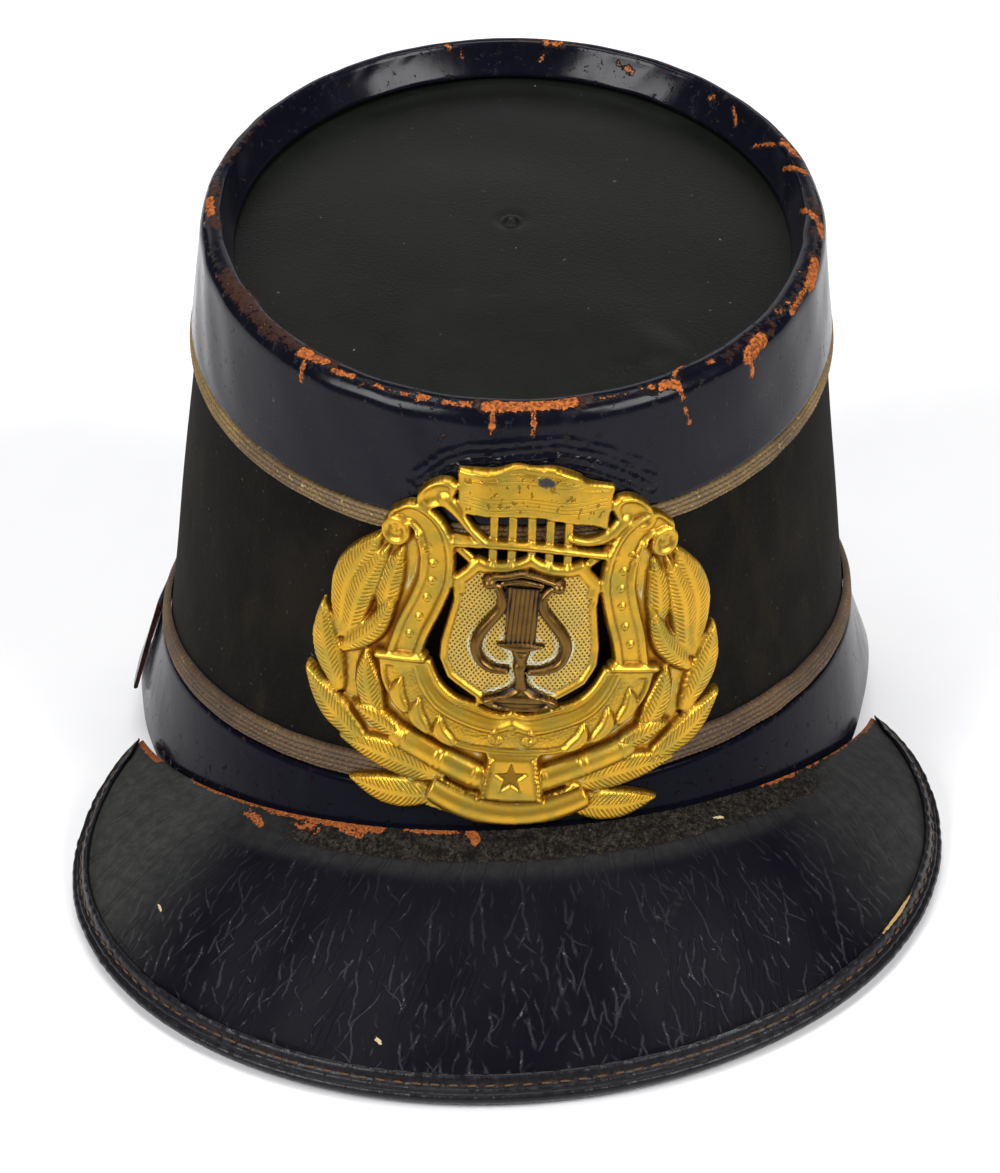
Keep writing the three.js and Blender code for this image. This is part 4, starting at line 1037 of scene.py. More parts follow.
BOAT_OUTER = [(31.0, -5.4), (29.6, -11.0), (25.6, -16.2), (19.4, -20.4), (11.1, -23.0), (5.0, -23.6), (0.0, -23.7)]
BOAT_INNER = [(21.5, -4.0), (19.6, -8.8), (15.9, -13.1), (9.6, -15.7), (3.9, -16.7), (0.0, -15.2)]
BOAT_LIP = [(19.2, -3.8), (16.6, -8.4), (13.0, -11.3), (8.8, -12.4), (3.3, -13.9), (0.0, -13.4)]
SHIELD = [(0.0, 23.2), (2.8, 21.6), (6.0, 20.9), (9.2, 20.9), (11.5, 21.8), (14.0, 18.8), (16.4, 16.4), (15.9, 11.0),
          (16.8, 5.6), (17.6, 1.0), (17.5, -3.0), (15.3, -7.2), (11.4, -9.6), (8.6, -11.2), (8.4, -12.4), (0.0, -13.4)]
SCROLL = [(-17.9, 41.2), (-13.9, 41.6), (-9.9, 42.0), (-5.5, 43.5), (-1.5, 43.1), (3.0, 43.3), (8.4, 41.6),
          (10.8, 40.0), (16.9, 38.5), (16.2, 28.3), (11.2, 30.3), (3.4, 31.3), (-5.8, 31.7), (-10.8, 31.6),
          (-16.9, 30.8)]
TRAY = [(-17.2, -38.6), (-16.8, -34.2), (-15.4, -30.4), (-13.6, -30.2), (-12.3, -31.6), (-8.0, -33.2), (0.5, -33.8),
        (9.0, -33.2), (13.2, -31.6), (14.8, -29.9), (16.8, -30.2), (18.8, -33.4), (19.7, -36.9), (12.2, -39.2),
        (1.5, -40.2), (-8.6, -40.0)]


def curve_through(points, cuts=6):
    """A smooth line through points, cut finely."""
    points = np.asarray(points, float)
    padded = np.vstack([2 * points[0] - points[1], points, 2 * points[-1] - points[-2]])
    line = []
    for a, b, c, d in zip(padded, padded[1:], padded[2:], padded[3:]):
        for s in np.arange(cuts) / cuts:
            bent = (2 * a - 5 * b + 4 * c - d) * s ** 2 + (3 * b - a - 3 * c + d) * s ** 3
            line.append(0.5 * (2 * b + (c - a) * s + bent))
    line.append(points[-1])
    return np.array(line)


def dome(share):
    return np.sqrt(np.clip(1 - share ** 2, 0, 1))


class Relief:
    """Heights over a grid, built up piece by piece, with the distance to the outline of all of them."""

    def __init__(self, across, up, cell):
        self.x, self.y = np.meshgrid(np.arange(*across, cell), np.arange(*up, cell), indexing="ij")
        self.cell = cell
        self.origin = (across[0], up[0])
        self.height = np.zeros_like(self.x)
        self.detail = np.zeros_like(self.x)
        self.outline = np.full_like(self.x, 9.0)
        self.marks = {}

    def near(self, line, margin=9.0):
        """Share along a line, distance to its left side, and plain distance, for every place of the grid."""
        best, share, side = np.full(self.x.shape, 1e3), np.zeros(self.x.shape), np.zeros(self.x.shape)
        runs = np.concatenate([[0], np.cumsum(np.linalg.norm(np.diff(line, axis=0), axis=1))])
        box = ((self.x > line[:, 0].min() - margin) & (self.x < line[:, 0].max() + margin)
               & (self.y > line[:, 1].min() - margin) & (self.y < line[:, 1].max() + margin))
        x, y = self.x[box], self.y[box]
        near, along, left = np.full(x.shape, 1e3), np.zeros(x.shape), np.zeros(x.shape)
        for k in range(len(line) - 1):
            start, run = line[k], line[k + 1] - line[k]
            length = max(np.linalg.norm(run), 1e-9)
            s = np.clip(((x - start[0]) * run[0] + (y - start[1]) * run[1]) / length ** 2, 0, 1)
            dx, dy = x - start[0] - s * run[0], y - start[1] - s * run[1]
            away = np.hypot(dx, dy)
            closer = away < near
            near = np.where(closer, away, near)
            along = np.where(closer, (runs[k] + s * length) / runs[-1], along)
            left = np.where(closer, np.sign(run[0] * dy - run[1] * dx), left)
        best[box], share[box], side[box] = near, along, left * near
        return share, side, best

    def inside(self, corners):
        """Distance to a closed outline, negative inside it."""
        line = np.vstack([corners, corners[:1]])
        _, _, away = self.near(line)
        within = np.zeros(self.x.shape, bool)
        for (x0, y0), (x1, y1) in zip(line, line[1:]):
            crosses = (y0 > self.y) != (y1 > self.y)
            within ^= crosses & (self.x < (x1 - x0) * (self.y - y0) / (y1 - y0 + 1e-12) + x0)
        return np.where(within, -away, away)

    def lay(self, distance, height, **marks):
        """Lays a piece over what is there, with its outline where the distance is nought."""
        taller = (distance < 0) & (height > self.height)
        self.height = np.where(taller, height, self.height)
        self.detail = np.where(taller, 0.0, self.detail)
        self.outline = np.minimum(self.outline, distance)
        for name in self.marks:
            self.marks[name] = np.where(taller, marks.get(name, 0.0), self.marks[name])

    def press(self, shape, depth):
        """Crisp detail on what is there: raised by a depth, or sunk."""
        self.detail = self.detail + np.where(self.height > 0, shape * depth, 0)

    def finish(self, passes):
        """Rounds the edges of the pieces, as a die does, and keeps the detail crisp."""
        self.height = soften(self.height, passes) + self.detail


def lay_leaf(relief, row, side):
    """A blade with a sunken midrib and oblique veins, its edge thin."""
    foot_x, foot_y, tip_x, tip_y, half, bow, layer = row
    length = math.hypot(tip_x - foot_x, tip_y - foot_y)
    middle = ((foot_x + tip_x) / 2 + bow * (tip_y - foot_y) / length,
              (foot_y + tip_y) / 2 - bow * (tip_x - foot_x) / length)
    line = curve_through([(side * x, y) for x, y in ((foot_x, foot_y), middle, (tip_x, tip_y))], 9)
    share, beside, away = relief.near(line)
    width = 1.08 * half * np.sin(math.pi * mix(0.16, 0.99, share)) ** 0.9
    q = np.clip(away / np.maximum(width, 0.05), 0, 2)
    back = 0.8 + 0.36 * layer + 0.5 * np.sin(math.pi * np.clip(share, 0, 1))
    tilt = 0.18 * side * beside / np.maximum(width, 0.05)
    blade = 1.0 * dome(np.clip((q - 0.42) / 0.64, -1, 1)) - 0.12 + tilt
    fade = smooth(share * 6) * smooth((1 - share) * 5)
    height = back + np.where(q < 1, blade, 0) + 0.26 * np.exp(-(beside / 0.3) ** 2) * fade
    vein = share * length - np.abs(beside) * 0.8 + 0.12 * np.sin(share * length * 1.3)
    leafy = smooth((q - 0.12) / 0.12) * smooth((0.9 - q) / 0.14) * fade
    # A dark line along the leaf's falling edge is painted shade.
    relief.lay(away - width, height, vein=vein, leafy=leafy, dark=0.5 * hump(q, 0.96, 0.1))


def lay_band(relief, line, half, floor, rim):
    """A channelled band: a rounded rim along each side and a level face between them."""
    share, _, away = relief.near(line)
    width = half(share)
    q = away / width
    edge = dome(np.clip((q - 0.77) / 0.26, -1, 1))
    # A dark line in the groove at the inner foot of each rim is painted shade.
    relief.lay(away - width, floor + rim * edge, dark=0.4 * hump(q, 0.52, 0.1))


def lay_rod(relief, line, half, back, height):
    share, _, away = relief.near(line)
    width = half(share) if callable(half) else half
    relief.lay(away - width, back + height * (0.3 + 0.7 * dome(away / width)))
    return share, away / width


def lay_button(relief, x, y, radius, height):
    away = np.hypot(relief.x - x, relief.y - y)
    relief.press(dome(away / radius) * (away < radius), height)


def lay_horn(relief, side):
    """A horn behind the sheet of music: a bent tube and a bell with a rolled lip."""
    tube = [(10.5, 25.3), (13.6, 27.8), (17.0, 31.4), (19.6, 33.6)] if side < 0 else \
           [(8.6, 26.9), (12.0, 26.2), (16.0, 26.9), (19.8, 29.8)]
    lay_rod(relief, curve_through([(side * x, y) for x, y in tube]), lambda s: mix(0.9, 1.9, s ** 2), 0.7, 1.6)
    leaning, middle_up, half_long, half_short = (38, 34.6, 5.0, 2.9) if side < 0 else (-35, 31.9, 5.9, 3.4)
    angle = math.radians(leaning)
    dx, dy = relief.x - side * 21.8, relief.y - middle_up
    u = dx * math.cos(angle) + dy * math.sin(angle)
    v = dy * math.cos(angle) - dx * math.sin(angle)
    q = np.hypot(u / half_long, v / half_short)
    lip = 0.6 * dome(np.clip((q - 0.84) / 0.18, -1, 1))
    relief.lay((q - 1) * half_short, 1.9 + lip - 0.5 * smooth((0.8 - q) / 0.6) + 0.12 * v)


def wreath_relief():
    """The laurel wreath and the sheet that it stands on, which is the back of the badge."""
    relief = Relief((-52.0, 52.0), (-43.5, 30.0), WREATH_CELL)
    relief.marks = {name: np.zeros_like(relief.x) for name in ("vein", "leafy", "dark")}
    for side in (1, -1):
        depth = relief.inside(np.array(GROUND) * (side, 1))
        relief.lay(depth, np.full_like(relief.x, 0.85))
        for row in sorted(LEAVES, key=lambda r: r[6]):
            lay_leaf(relief, row, side)
    return relief


def lay_shield(relief):
    shield = np.array(SHIELD + [(-x, y) for x, y in SHIELD[-2:0:-1]])
    depth = relief.inside(shield)
    wide = np.where(relief.y > 13, 2.6, 1.7)
    rim = dome(np.clip((-depth - 0.5 * wide) / (0.55 * wide), -1, 1))
    relief.lay(depth, 1.1 + 0.9 * rim + 0.04 * np.minimum(-depth, 12), field=smooth((-depth - wide) / 0.5))


def lay_bars(relief):
    for i in range(-2, 3):
        x = i * 4.1 - 0.5
        _, q = lay_rod(relief, np.array([(x - 0.3, 32.2), (x + 0.5, 20.4 if i else 23.4)]), 0.95, 0.5, 0.7)
        relief.press(hump(q, 0.1, 0.5) * (q < 1), -0.22)
    for side in (1, -1):
        lay_rod(relief, np.array([(side * 18.4, 24.6), (side * 10.6, 18.9)]), 1.0, 0.5, 0.7)
        lay_rod(relief, np.array([(side * 18.4, 25.4), (side * 9.6, 25.6)]), 0.6, 0.6, 0.8)
        lay_horn(relief, side)
    yoke = curve_through([(-18.8, 24.0), (-9.0, 24.9), (0.0, 24.9), (9.5, 23.8), (18.8, 22.2)])
    lay_rod(relief, yoke, 0.95, 0.8, 1.5)


def lay_sheet_of_music(relief):
    sheet = np.vstack([curve_through(SCROLL[:9], 4), curve_through(SCROLL[9:], 4)])
    depth = relief.inside(sheet)
    wave = 0.75 * np.sin((relief.x + 0.25 * relief.y) * 0.36 + 2.1)
    front = -depth - 1.6 * smooth((relief.y - 36) / 3)
    relief.lay(depth, 2.1 + wave + 0.25 * smooth(front / 0.5), music=smooth((-depth - 1.2) / 0.6))


def lay_boat(relief):
    """The lyre's body: a stippled face between two rims, with lobes and curls, and a smooth bevel to its inside."""
    outer, inner, lip = (curve_through(line, 5) for line in (BOAT_OUTER, BOAT_INNER, BOAT_LIP))
    across = (-1, 1)
    depth = relief.inside(np.vstack([outer, outer[-2::-1] * across, lip * across, lip[-2::-1]]))
    bevel = relief.inside(np.vstack([inner, inner[-2::-1] * across, lip * across, lip[-2::-1]]))
    face = relief.inside(np.vstack([outer, outer[-2::-1] * across, inner * across, inner[-2::-1]]))
    relief.lay(depth, 1.2 + 1.2 * smooth(1 + bevel / 2.6))
    edge = dome(np.clip((-face - 0.85) / 0.85, -1, 1))
    belly = 0.5 * smooth(-face / 3.6)
    # A dark line at the inner foot of the rim is painted shade.
    relief.lay(face, 2.2 + belly + 0.75 * edge, stipple=smooth((-face - 1.6) / 0.5), dark=0.45 * hump(-face, 1.8, 0.5))
    for side in (1, -1):
        for foot, tip, bow, half in (((23.6, -15.6), (25.0, -8.6), 1.3, 1.7), ((18.4, -19.4), (20.6, -12.6), 1.3, 1.7),
                                     ((12.6, -21.6), (15.6, -15.8), 1.2, 1.6)):
            middle = (side * ((foot[0] + tip[0]) / 2 + bow), (foot[1] + tip[1]) / 2 - 0.5 * bow)
            lobe = curve_through([(side * foot[0], foot[1]), middle, (side * tip[0], tip[1])])
            share, beside, away = relief.near(lobe)
            width = half * np.sin(math.pi * mix(0.2, 0.98, share))
            q = away / width
            relief.lay(away - width, 3.0 + 0.85 * dome(q) - 0.25 * np.exp(-(beside / 0.35) ** 2))
            # A dark ring round each lobe's foot is painted shade.
            ring = 0.75 * hump(away - width, 0.3, 0.45) * (relief.y > -21)
            relief.marks["dark"] = np.maximum(relief.marks["dark"], ring)
        curl = [(0.4 + side * (3.2 + (0.35 + 0.27 * t) * math.cos(t + 2.4)),
                 -19.6 + (0.35 + 0.27 * t) * math.sin(t + 2.4)) for t in np.linspace(0.4, 5.2, 18)]
        _, _, away = relief.near(np.array(curl))
        relief.press(smooth(1.8 - away / 0.3), 0.4)
        # A dark line beside each curl is painted shade.
        relief.marks["dark"] = np.maximum(relief.marks["dark"], 0.45 * hump(away, 0.75, 0.3))
    lay_button(relief, 0.4, -17.7, 0.9, 0.55)


def lay_strap_and_tray(relief):
    for side in (1, -1):
        lay_rod(relief, np.array([(side * 20.9, -3.4), (side * 31.2, -4.9)]), 1.0, 1.1, 2.4)
        baton = np.array([(side * 7.0 + 0.8, -29.4), (side * 25.0 + 0.8, -22.9)])
        share, q = lay_rod(relief, baton, 2.95, 0.9, 2.8)
        for at, proud in ((0.46, 0.22), (0.53, 0.22), (0.97, 0.4), (0.06, 0.2)):
            relief.press(hump(share, at, 0.03) * (q < 1), proud)
    strap = np.array([(-4.9, -23.4), (6.6, -23.2), (7.8, -28.5), (8.8, -34.4), (-5.6, -34.4), (-5.0, -28.5)])
    depth = relief.inside(strap)
    relief.lay(depth, 3.2 + 0.35 * smooth(-depth / 1.2))
    beads = (((-3.7, -24.6), (-4.5, -33.0)), ((5.9, -24.4), (7.8, -33.2)))
    for k in range(9):
        for foot, head in beads:
            x, y = mix(foot[0], head[0], k / 8), mix(foot[1], head[1], k / 8)
            lay_button(relief, x, y, 0.6, 1.1)
            # A dark ring round each bead is painted shade.
            ring = 0.75 * hump(np.hypot(relief.x - x, relief.y - y), 0.8, 0.3)
            relief.marks["dark"] = np.maximum(relief.marks["dark"], ring)
    reach = (3.7, 1.5)
    star = np.array([(1.1 + reach[k % 2] * math.cos((93 + 36 * k) * DEGREE),
                      -28.6 + reach[k % 2] * math.sin((93 + 36 * k) * DEGREE)) for k in range(10)])
    depth = relief.inside(star)
    relief.press(smooth(0.6 - depth / 0.4), -0.55)
    lines = [relief.near(np.array(ends))[2] for ends in beads]
    # The sunken star and lines beside the rows of beads are darkened: painted shade.
    seams = 0.5 * np.maximum(*(hump(away, 0.95, 0.45) for away in lines)) * (relief.height > 3.1)
    relief.marks["dark"] = np.maximum.reduce([relief.marks["dark"], smooth(0.6 - depth / 0.3), seams])
    depth = relief.inside(np.array(TRAY))
    floor = relief.y + 34.5 - 0.0145 * (relief.x - 1.0) ** 2
    front = dome(np.clip((floor + 3.4) / 3.0, -1, 1))
    # A dark line at the foot of the tray's front is painted shade.
    relief.lay(depth, np.where(floor > 0, 3.1, 1.9 + 2.0 * front), dark=0.8 * hump(floor, -0.4, 0.9))


def lyre_frame_relief():
    """The struck lyre that stands on the wreath, from the back to the front."""
    relief = Relief((-36.0, 36.0), (-42.0, 45.5), LYRE_CELL)
    relief.marks = {name: np.zeros_like(relief.x) for name in ("field", "stipple", "music", "dark")}
    lay_shield(relief)
    lay_bars(relief)
    lay_sheet_of_music(relief)
    for side in (1, -1):
        arm = curve_through([(side * x, y) for x, y in ARM])
        lay_band(relief, arm, lambda s: mix(2.4, 3.9, smooth(s * 3.4)), 1.9, 0.95)
        for x, y in ARM_RIVETS:
            lay_button(relief, side * x, y, 0.9, 0.6)
        away = np.hypot(relief.x - side * 29.8, relief.y - 24.4)
        rim = 0.7 * dome(np.clip((away - 2.6) / 0.9, -1, 1))
        relief.lay(away - 3.5, 2.2 + rim + 0.8 * dome(np.minimum(away / 1.2, 1)))
    lay_boat(relief)
    lay_strap_and_tray(relief)
    return relief


def soften(height, passes):
    """Blurs a grid of heights a little, as metal struck in a die never has sharp inner corners."""
    for _ in range(passes):
        padded = np.pad(height, 1, mode="edge")
        height = (padded[:-2, 1:-1] + padded[2:, 1:-1] + padded[1:-1, :-2] + padded[1:-1, 2:] + 4 * height) / 8
    return height


def sampled(grid, relief, x, y):
    """A grid's value at any places, between its points."""
    u = np.clip((x - relief.origin[0]) / relief.cell, 0, grid.shape[0] - 1.001)
    v = np.clip((y - relief.origin[1]) / relief.cell, 0, grid.shape[1] - 1.001)
    i, j = u.astype(int), v.astype(int)
    fu, fv = u - i, v - j
    return (grid[i, j] * (1 - fu) * (1 - fv) + grid[i + 1, j] * fu * (1 - fv)
            + grid[i, j + 1] * (1 - fu) * fv + grid[i + 1, j + 1] * fu * fv)


def struck_sheet(name, relief, back, marks):
    """Cuts a flat grid to the relief's outline, gives it a back and raises its face, then bends it round the crown."""
    columns, rows = relief.x.shape[0] - 1, relief.x.shape[1] - 1
    piece, column, row = flat_grid(name, columns, rows)
    mesh = piece.data
    outline = relief.outline
    centres = (outline[:-1, :-1] + outline[1:, :-1] + outline[:-1, 1:] + outline[1:, 1:]) / 4
    keep = centres < 0
    corners = np.empty(len(mesh.loops), int)
    mesh.loops.foreach_get("vertex_index", corners)
    quads = corners.reshape(-1, 4)
    kept = keep[column[quads].min(axis=1), row[quads].min(axis=1)]
    flat = np.stack([relief.x[column, row], relief.y[column, row], np.zeros(len(column))], -1)
    uses = np.zeros(len(column), int)
    np.add.at(uses, quads[kept].ravel(), 1)
    border = (uses > 0) & (uses < 4)
    slope_x, slope_y = np.gradient(outline, relief.cell)
    for _ in range(2):
        x, y = flat[border, 0], flat[border, 1]
        away = sampled(outline, relief, x, y)
        gx, gy = sampled(slope_x, relief, x, y), sampled(slope_y, relief, x, y)
        size = np.maximum(np.hypot(gx, gy), 0.35)
        move = np.clip(away / size, -0.6 * relief.cell, 0.6 * relief.cell)
        flat[border, 0] = x - move * gx / size
        flat[border, 1] = y - move * gy / size
    mesh.vertices.foreach_set("co", flat.astype(np.float32).ravel())
    mesh.polygons.foreach_set("select", ~kept)
    mesh.update()
    only(piece)
    bpy.ops.object.mode_set(mode="EDIT")
    bpy.ops.mesh.select_mode(type="FACE")
    bpy.ops.object.mode_set(mode="OBJECT")
    mesh.polygons.foreach_set("select", ~kept)
    bpy.ops.object.mode_set(mode="EDIT")
    bpy.ops.mesh.delete(type="FACE")
    bpy.ops.mesh.select_all(action="SELECT")
    bpy.ops.mesh.extrude_region_move(TRANSFORM_OT_translate={"value": (0, 0, 1)})
    bpy.ops.object.mode_set(mode="OBJECT")
    spot = np.empty(len(mesh.vertices) * 3)
    mesh.vertices.foreach_get("co", spot)
    spot = spot.reshape(-1, 3)
    raised = spot[:, 2] > 0.5
    height = np.where(raised, sampled(relief.height, relief, spot[:, 0], spot[:, 1]), 0.0)
    height = np.where(raised, np.maximum(height, 0.7), 0.0)
    set_points(mesh, badge_point(spot[:, 0], spot[:, 1], back + height))
    set_flat(mesh, spot[:, :2])
    for mark, grid in marks.items():
        set_mark(mesh, mark, np.where(raised, sampled(grid, relief, spot[:, 0], spot[:, 1]), 0.0))
    close_up(piece, angle=70)
    return piece


def small_lyre_relief():
    """The small lyre, seen from the front, a little finer than the plate."""
    relief = Relief((-13.0, 12.5), (-15.0, 22.5), SMALL_LYRE_CELL)
    strings = np.array([(-4.6, 16.0), (2.6, 15.8), (3.0, 1.8), (-3.5, 2.0)])
    depth = relief.inside(strings)
    grooves = np.cos(2 * math.pi * (relief.x + 0.9) / 0.98)
    relief.lay(depth, 0.65 + 0.22 * grooves)
    for side, path in (
        (-1, [(-8.4, 17.1), (-6.7, 16.4), (-5.5, 14.0), (-5.3, 11.2), (-7.0, 8.2), (-9.0, 4.9), (-9.7, 1.7),
              (-8.6, -1.3), (-6.1, -3.0), (-2.6, -3.4)]),
        (1, [(6.5, 16.7), (4.8, 16.0), (3.5, 13.9), (3.9, 11.1), (6.0, 8.3), (8.7, 4.9), (9.8, 1.6),
             (8.7, -1.5), (5.7, -3.0), (2.4, -3.4)]),
    ):
        lay_rod(relief, curve_through(path), lambda s: 0.75 + 0.55 * np.sin(math.pi * s), 0.3, 1.7)
        away = np.hypot(relief.x - path[0][0], relief.y - path[0][1])
        relief.lay(away - 1.6, 0.6 + 2.3 * dome(away / 1.6))
        leaf = np.array([(0.4 * side - 0.2, 2.0), (4.9 * side - 0.1, 2.5)])
        lay_rod(relief, leaf, lambda s: mix(1.1, 0.35, s), 0.5, 0.9)
    lay_rod(relief, curve_through([(-7.6, 18.3), (-5.0, 18.6), (-1.8, 19.4), (1.8, 18.8), (5.2, 17.6)]), 0.75, 0.5, 1.6)
    lay_rod(relief, curve_through([(-5.4, 17.0), (-1.7, 17.6), (2.9, 16.8)]), 0.75, 0.5, 1.0)
    cone = np.array([(-2.2, 1.9), (2.2, 1.7), (1.1, -3.4), (-0.3, -3.4)])
    depth = relief.inside(cone)
    relief.lay(depth, 1.0 + 0.9 * smooth(-depth / 1.4))
    stem = curve_through([(0.2, -2.4), (0.4, -4.6), (0.8, -6.8), (1.0, -8.4)])
    lay_rod(relief, stem, lambda s: 1.5 - 0.5 * np.sin(math.pi * s), 0.5, 1.3)
    down = np.clip((-4.6 - relief.y) / 5.4, 0, 1)
    beside = np.abs(relief.x - 1.0) - (1.0 + 6.8 * down ** 2.6)
    slope = np.maximum(beside, np.maximum(relief.y + 4.6, -10.6 - relief.y))
    relief.lay(slope, 0.6 + 1.3 * smooth(-beside / 2.4))
    q = np.hypot((relief.x - 1.1) / 8.3, (relief.y + 10.7) / 1.9)
    relief.lay((q - 1) * 2.0, 1.3 + 0.8 * dome(np.clip((q - 0.85) / 0.17, -1, 1)) + 0.25 * dome(q))
    return relief


def hollows(relief, beside, blurs):
    """How far each place lies below what is round it, the other part of the badge included."""
    tops = np.maximum(np.where(relief.outline < 0, relief.height, 0.6), beside)
    return sum(share * np.clip((soften(tops, passes) - relief.height) / deep, 0, 1) for passes, deep, share in blurs)


def onto(relief, other):
    """Another relief's heights where this one's grid lies, nought outside them."""
    within = ((relief.x > other.x.min()) & (relief.x < other.x.max())
              & (relief.y > other.y.min()) & (relief.y < other.y.max()))
    return np.where(within, sampled(other.height, other, relief.x, relief.y), 0.0)


def build_badge(looks):
    """The struck brass wreath, the lyre on it and the small bronze lyre set on its shield."""
    wreath, lyre, small = wreath_relief(), lyre_frame_relief(), small_lyre_relief()
    blurs = ((26, 0.8, 1.0), (5, 0.4, 0.5))
    marks = dict(wreath.marks, hollow=hollows(wreath, onto(wreath, lyre), blurs))
    marks["residue"] = 0.62 * hump(marks["hollow"], 0.4, 0.25)
    brass = stamped_brass(looks)
    wreath.finish(3)
    piece = struck_sheet("struck_wreath", wreath, 0.0, marks)
    place(piece, "badge_plate", "brass", brass)

    marks = dict(lyre.marks, hollow=hollows(lyre, onto(lyre, wreath) * 0.8, ((36, 0.8, 1.0), (7, 0.4, 0.5))))
    covered = np.where(onto(lyre, small) > 0, 1.0, 0.0)
    near_lyre = (1 - covered) * smooth(soften(covered, 60) * 2.4)
    marks["residue"] = np.maximum(0.75 * near_lyre * smooth((13 - lyre.y) / 12) * smooth((lyre.y + 12) / 3),
                                  0.5 * hump(lyre.y, 23.0, 4.0) * (np.abs(lyre.x) < 14) * smooth(marks["hollow"] / 0.4))
    marks["residue"] = np.maximum(marks["residue"], 0.5 * hump(marks["hollow"], 0.4, 0.25) * (lyre.y < 22))
    marks["tarnish"] = hump(np.hypot((lyre.x - 1.1) / 1.6, lyre.y - 40.4), 0, 2.2)
    lyre.finish(3)
    piece = struck_sheet("struck_lyre", lyre, 0.0, marks)
    place(piece, "badge_plate", "brass", brass)

    sunk = hollows(small, 0.0, ((30, 0.5, 1.2),))
    small.finish(2)
    piece = struck_sheet("small_lyre", small, BADGE_PLATE + 0.75, {"hollow": sunk})
    place(piece, "badge_lyre", "bronze", cast_bronze())


# The stage

CAMERA_PLACE = (0.0063113, -0.8172847, 0.5915828)
CAMERA_DOWN = 33.0055 * DEGREE
CAMERA_ROUND = 0.2611 * DEGREE
CAMERA_ROLL = -2.7767 * DEGREE
PHOTO_HEIGHT = 1173
FOCAL_PIXELS = 4105.29
SHIFT_PIXELS = (4.0847, -22.3394)
SENSOR = 36.0


def build_camera():
    """The camera that the picture was taken with, as its outlines give it."""
    back = Vector((math.sin(CAMERA_ROUND) * math.cos(CAMERA_DOWN), -math.cos(CAMERA_ROUND) * math.cos(CAMERA_DOWN),
                   math.sin(CAMERA_DOWN)))
    level = Vector((math.cos(CAMERA_ROUND), math.sin(CAMERA_ROUND), 0))
    upright = back.cross(level)
    right = level * math.cos(CAMERA_ROLL) + upright * math.sin(CAMERA_ROLL)
    up = upright * math.cos(CAMERA_ROLL) - level * math.sin(CAMERA_ROLL)
    lens = bpy.data.cameras.new("camera")
    lens.sensor_width = SENSOR
    lens.lens = SENSOR * FOCAL_PIXELS / PHOTO_HEIGHT
    lens.shift_x = -SHIFT_PIXELS[0] / PHOTO_HEIGHT
    lens.shift_y = SHIFT_PIXELS[1] / PHOTO_HEIGHT
    lens.dof.use_dof = False
    camera = bpy.data.objects.new("camera", lens)
    bpy.context.scene.collection.objects.link(camera)
    camera.matrix_world = Matrix((
        (right.x, up.x, back.x, CAMERA_PLACE[0]),
        (right.y, up.y, back.y, CAMERA_PLACE[1]),
        (right.z, up.z, back.z, CAMERA_PLACE[2]),
        (0, 0, 0, 1),
    ))
    bpy.context.scene.camera = camera


def add_lamp(name, spot, target, size, power):
    light = bpy.data.lights.new(name, "AREA")
    light.shape = "RECTANGLE"
    light.size, light.size_y = size
    light.energy = power
    lamp = bpy.data.objects.new(name, light)
    bpy.context.scene.collection.objects.link(lamp)
    lamp.location = spot
    lamp.rotation_euler = (Vector(target) - Vector(spot)).to_track_quat("-Z", "Y").to_euler()


def build_stage(looks):
    """Plain pale floor, a soft lamp at each side, a pale wall of light behind and a dim room."""
    bpy.ops.object.select_all(action="DESELECT")
    bpy.ops.mesh.primitive_plane_add(size=8.0, location=(0, 0, -0.0004))
    floor = bpy.context.object
    floor.name = "floor"
    floor.data.materials.append(floor_paper())
    for name, side in (("lamp_left", -1), ("lamp_right", 1)):
        add_lamp(name, (side * 1.5, -1.13, 1.55), (0, 0.15, 0.05), (1.1, 1.1), looks.lamp_power)
    add_lamp("lamp_above", (0.0, 0.4, 2.35), (0, 0.2, 0), (1.5, 1.2), looks.lamp_power * 0.62)
    add_lamp("lamp_behind", (0.0, 2.5, 1.15), (0, 0.3, 0.1), (3.6, 1.1), looks.lamp_power * 0.27)
    world = bpy.data.worlds.new("studio")
    world.use_nodes = True
    world.node_tree.nodes.clear()
    add(world, "OutputWorld", (add(world, "Background", (linear("#f4f5f8"), looks.room_light)),))
    bpy.context.scene.world = world
    bpy.context.scene.view_settings.view_transform = "Standard"
    bpy.context.scene.view_settings.look = "None"
    build_camera()


# What a user can change

def colour_setting(name, description, code):
    return bpy.props.FloatVectorProperty(name=name, description=description, default=linear(code)[:3],
                                         subtype="COLOR", size=3, min=0.0, max=1.0)


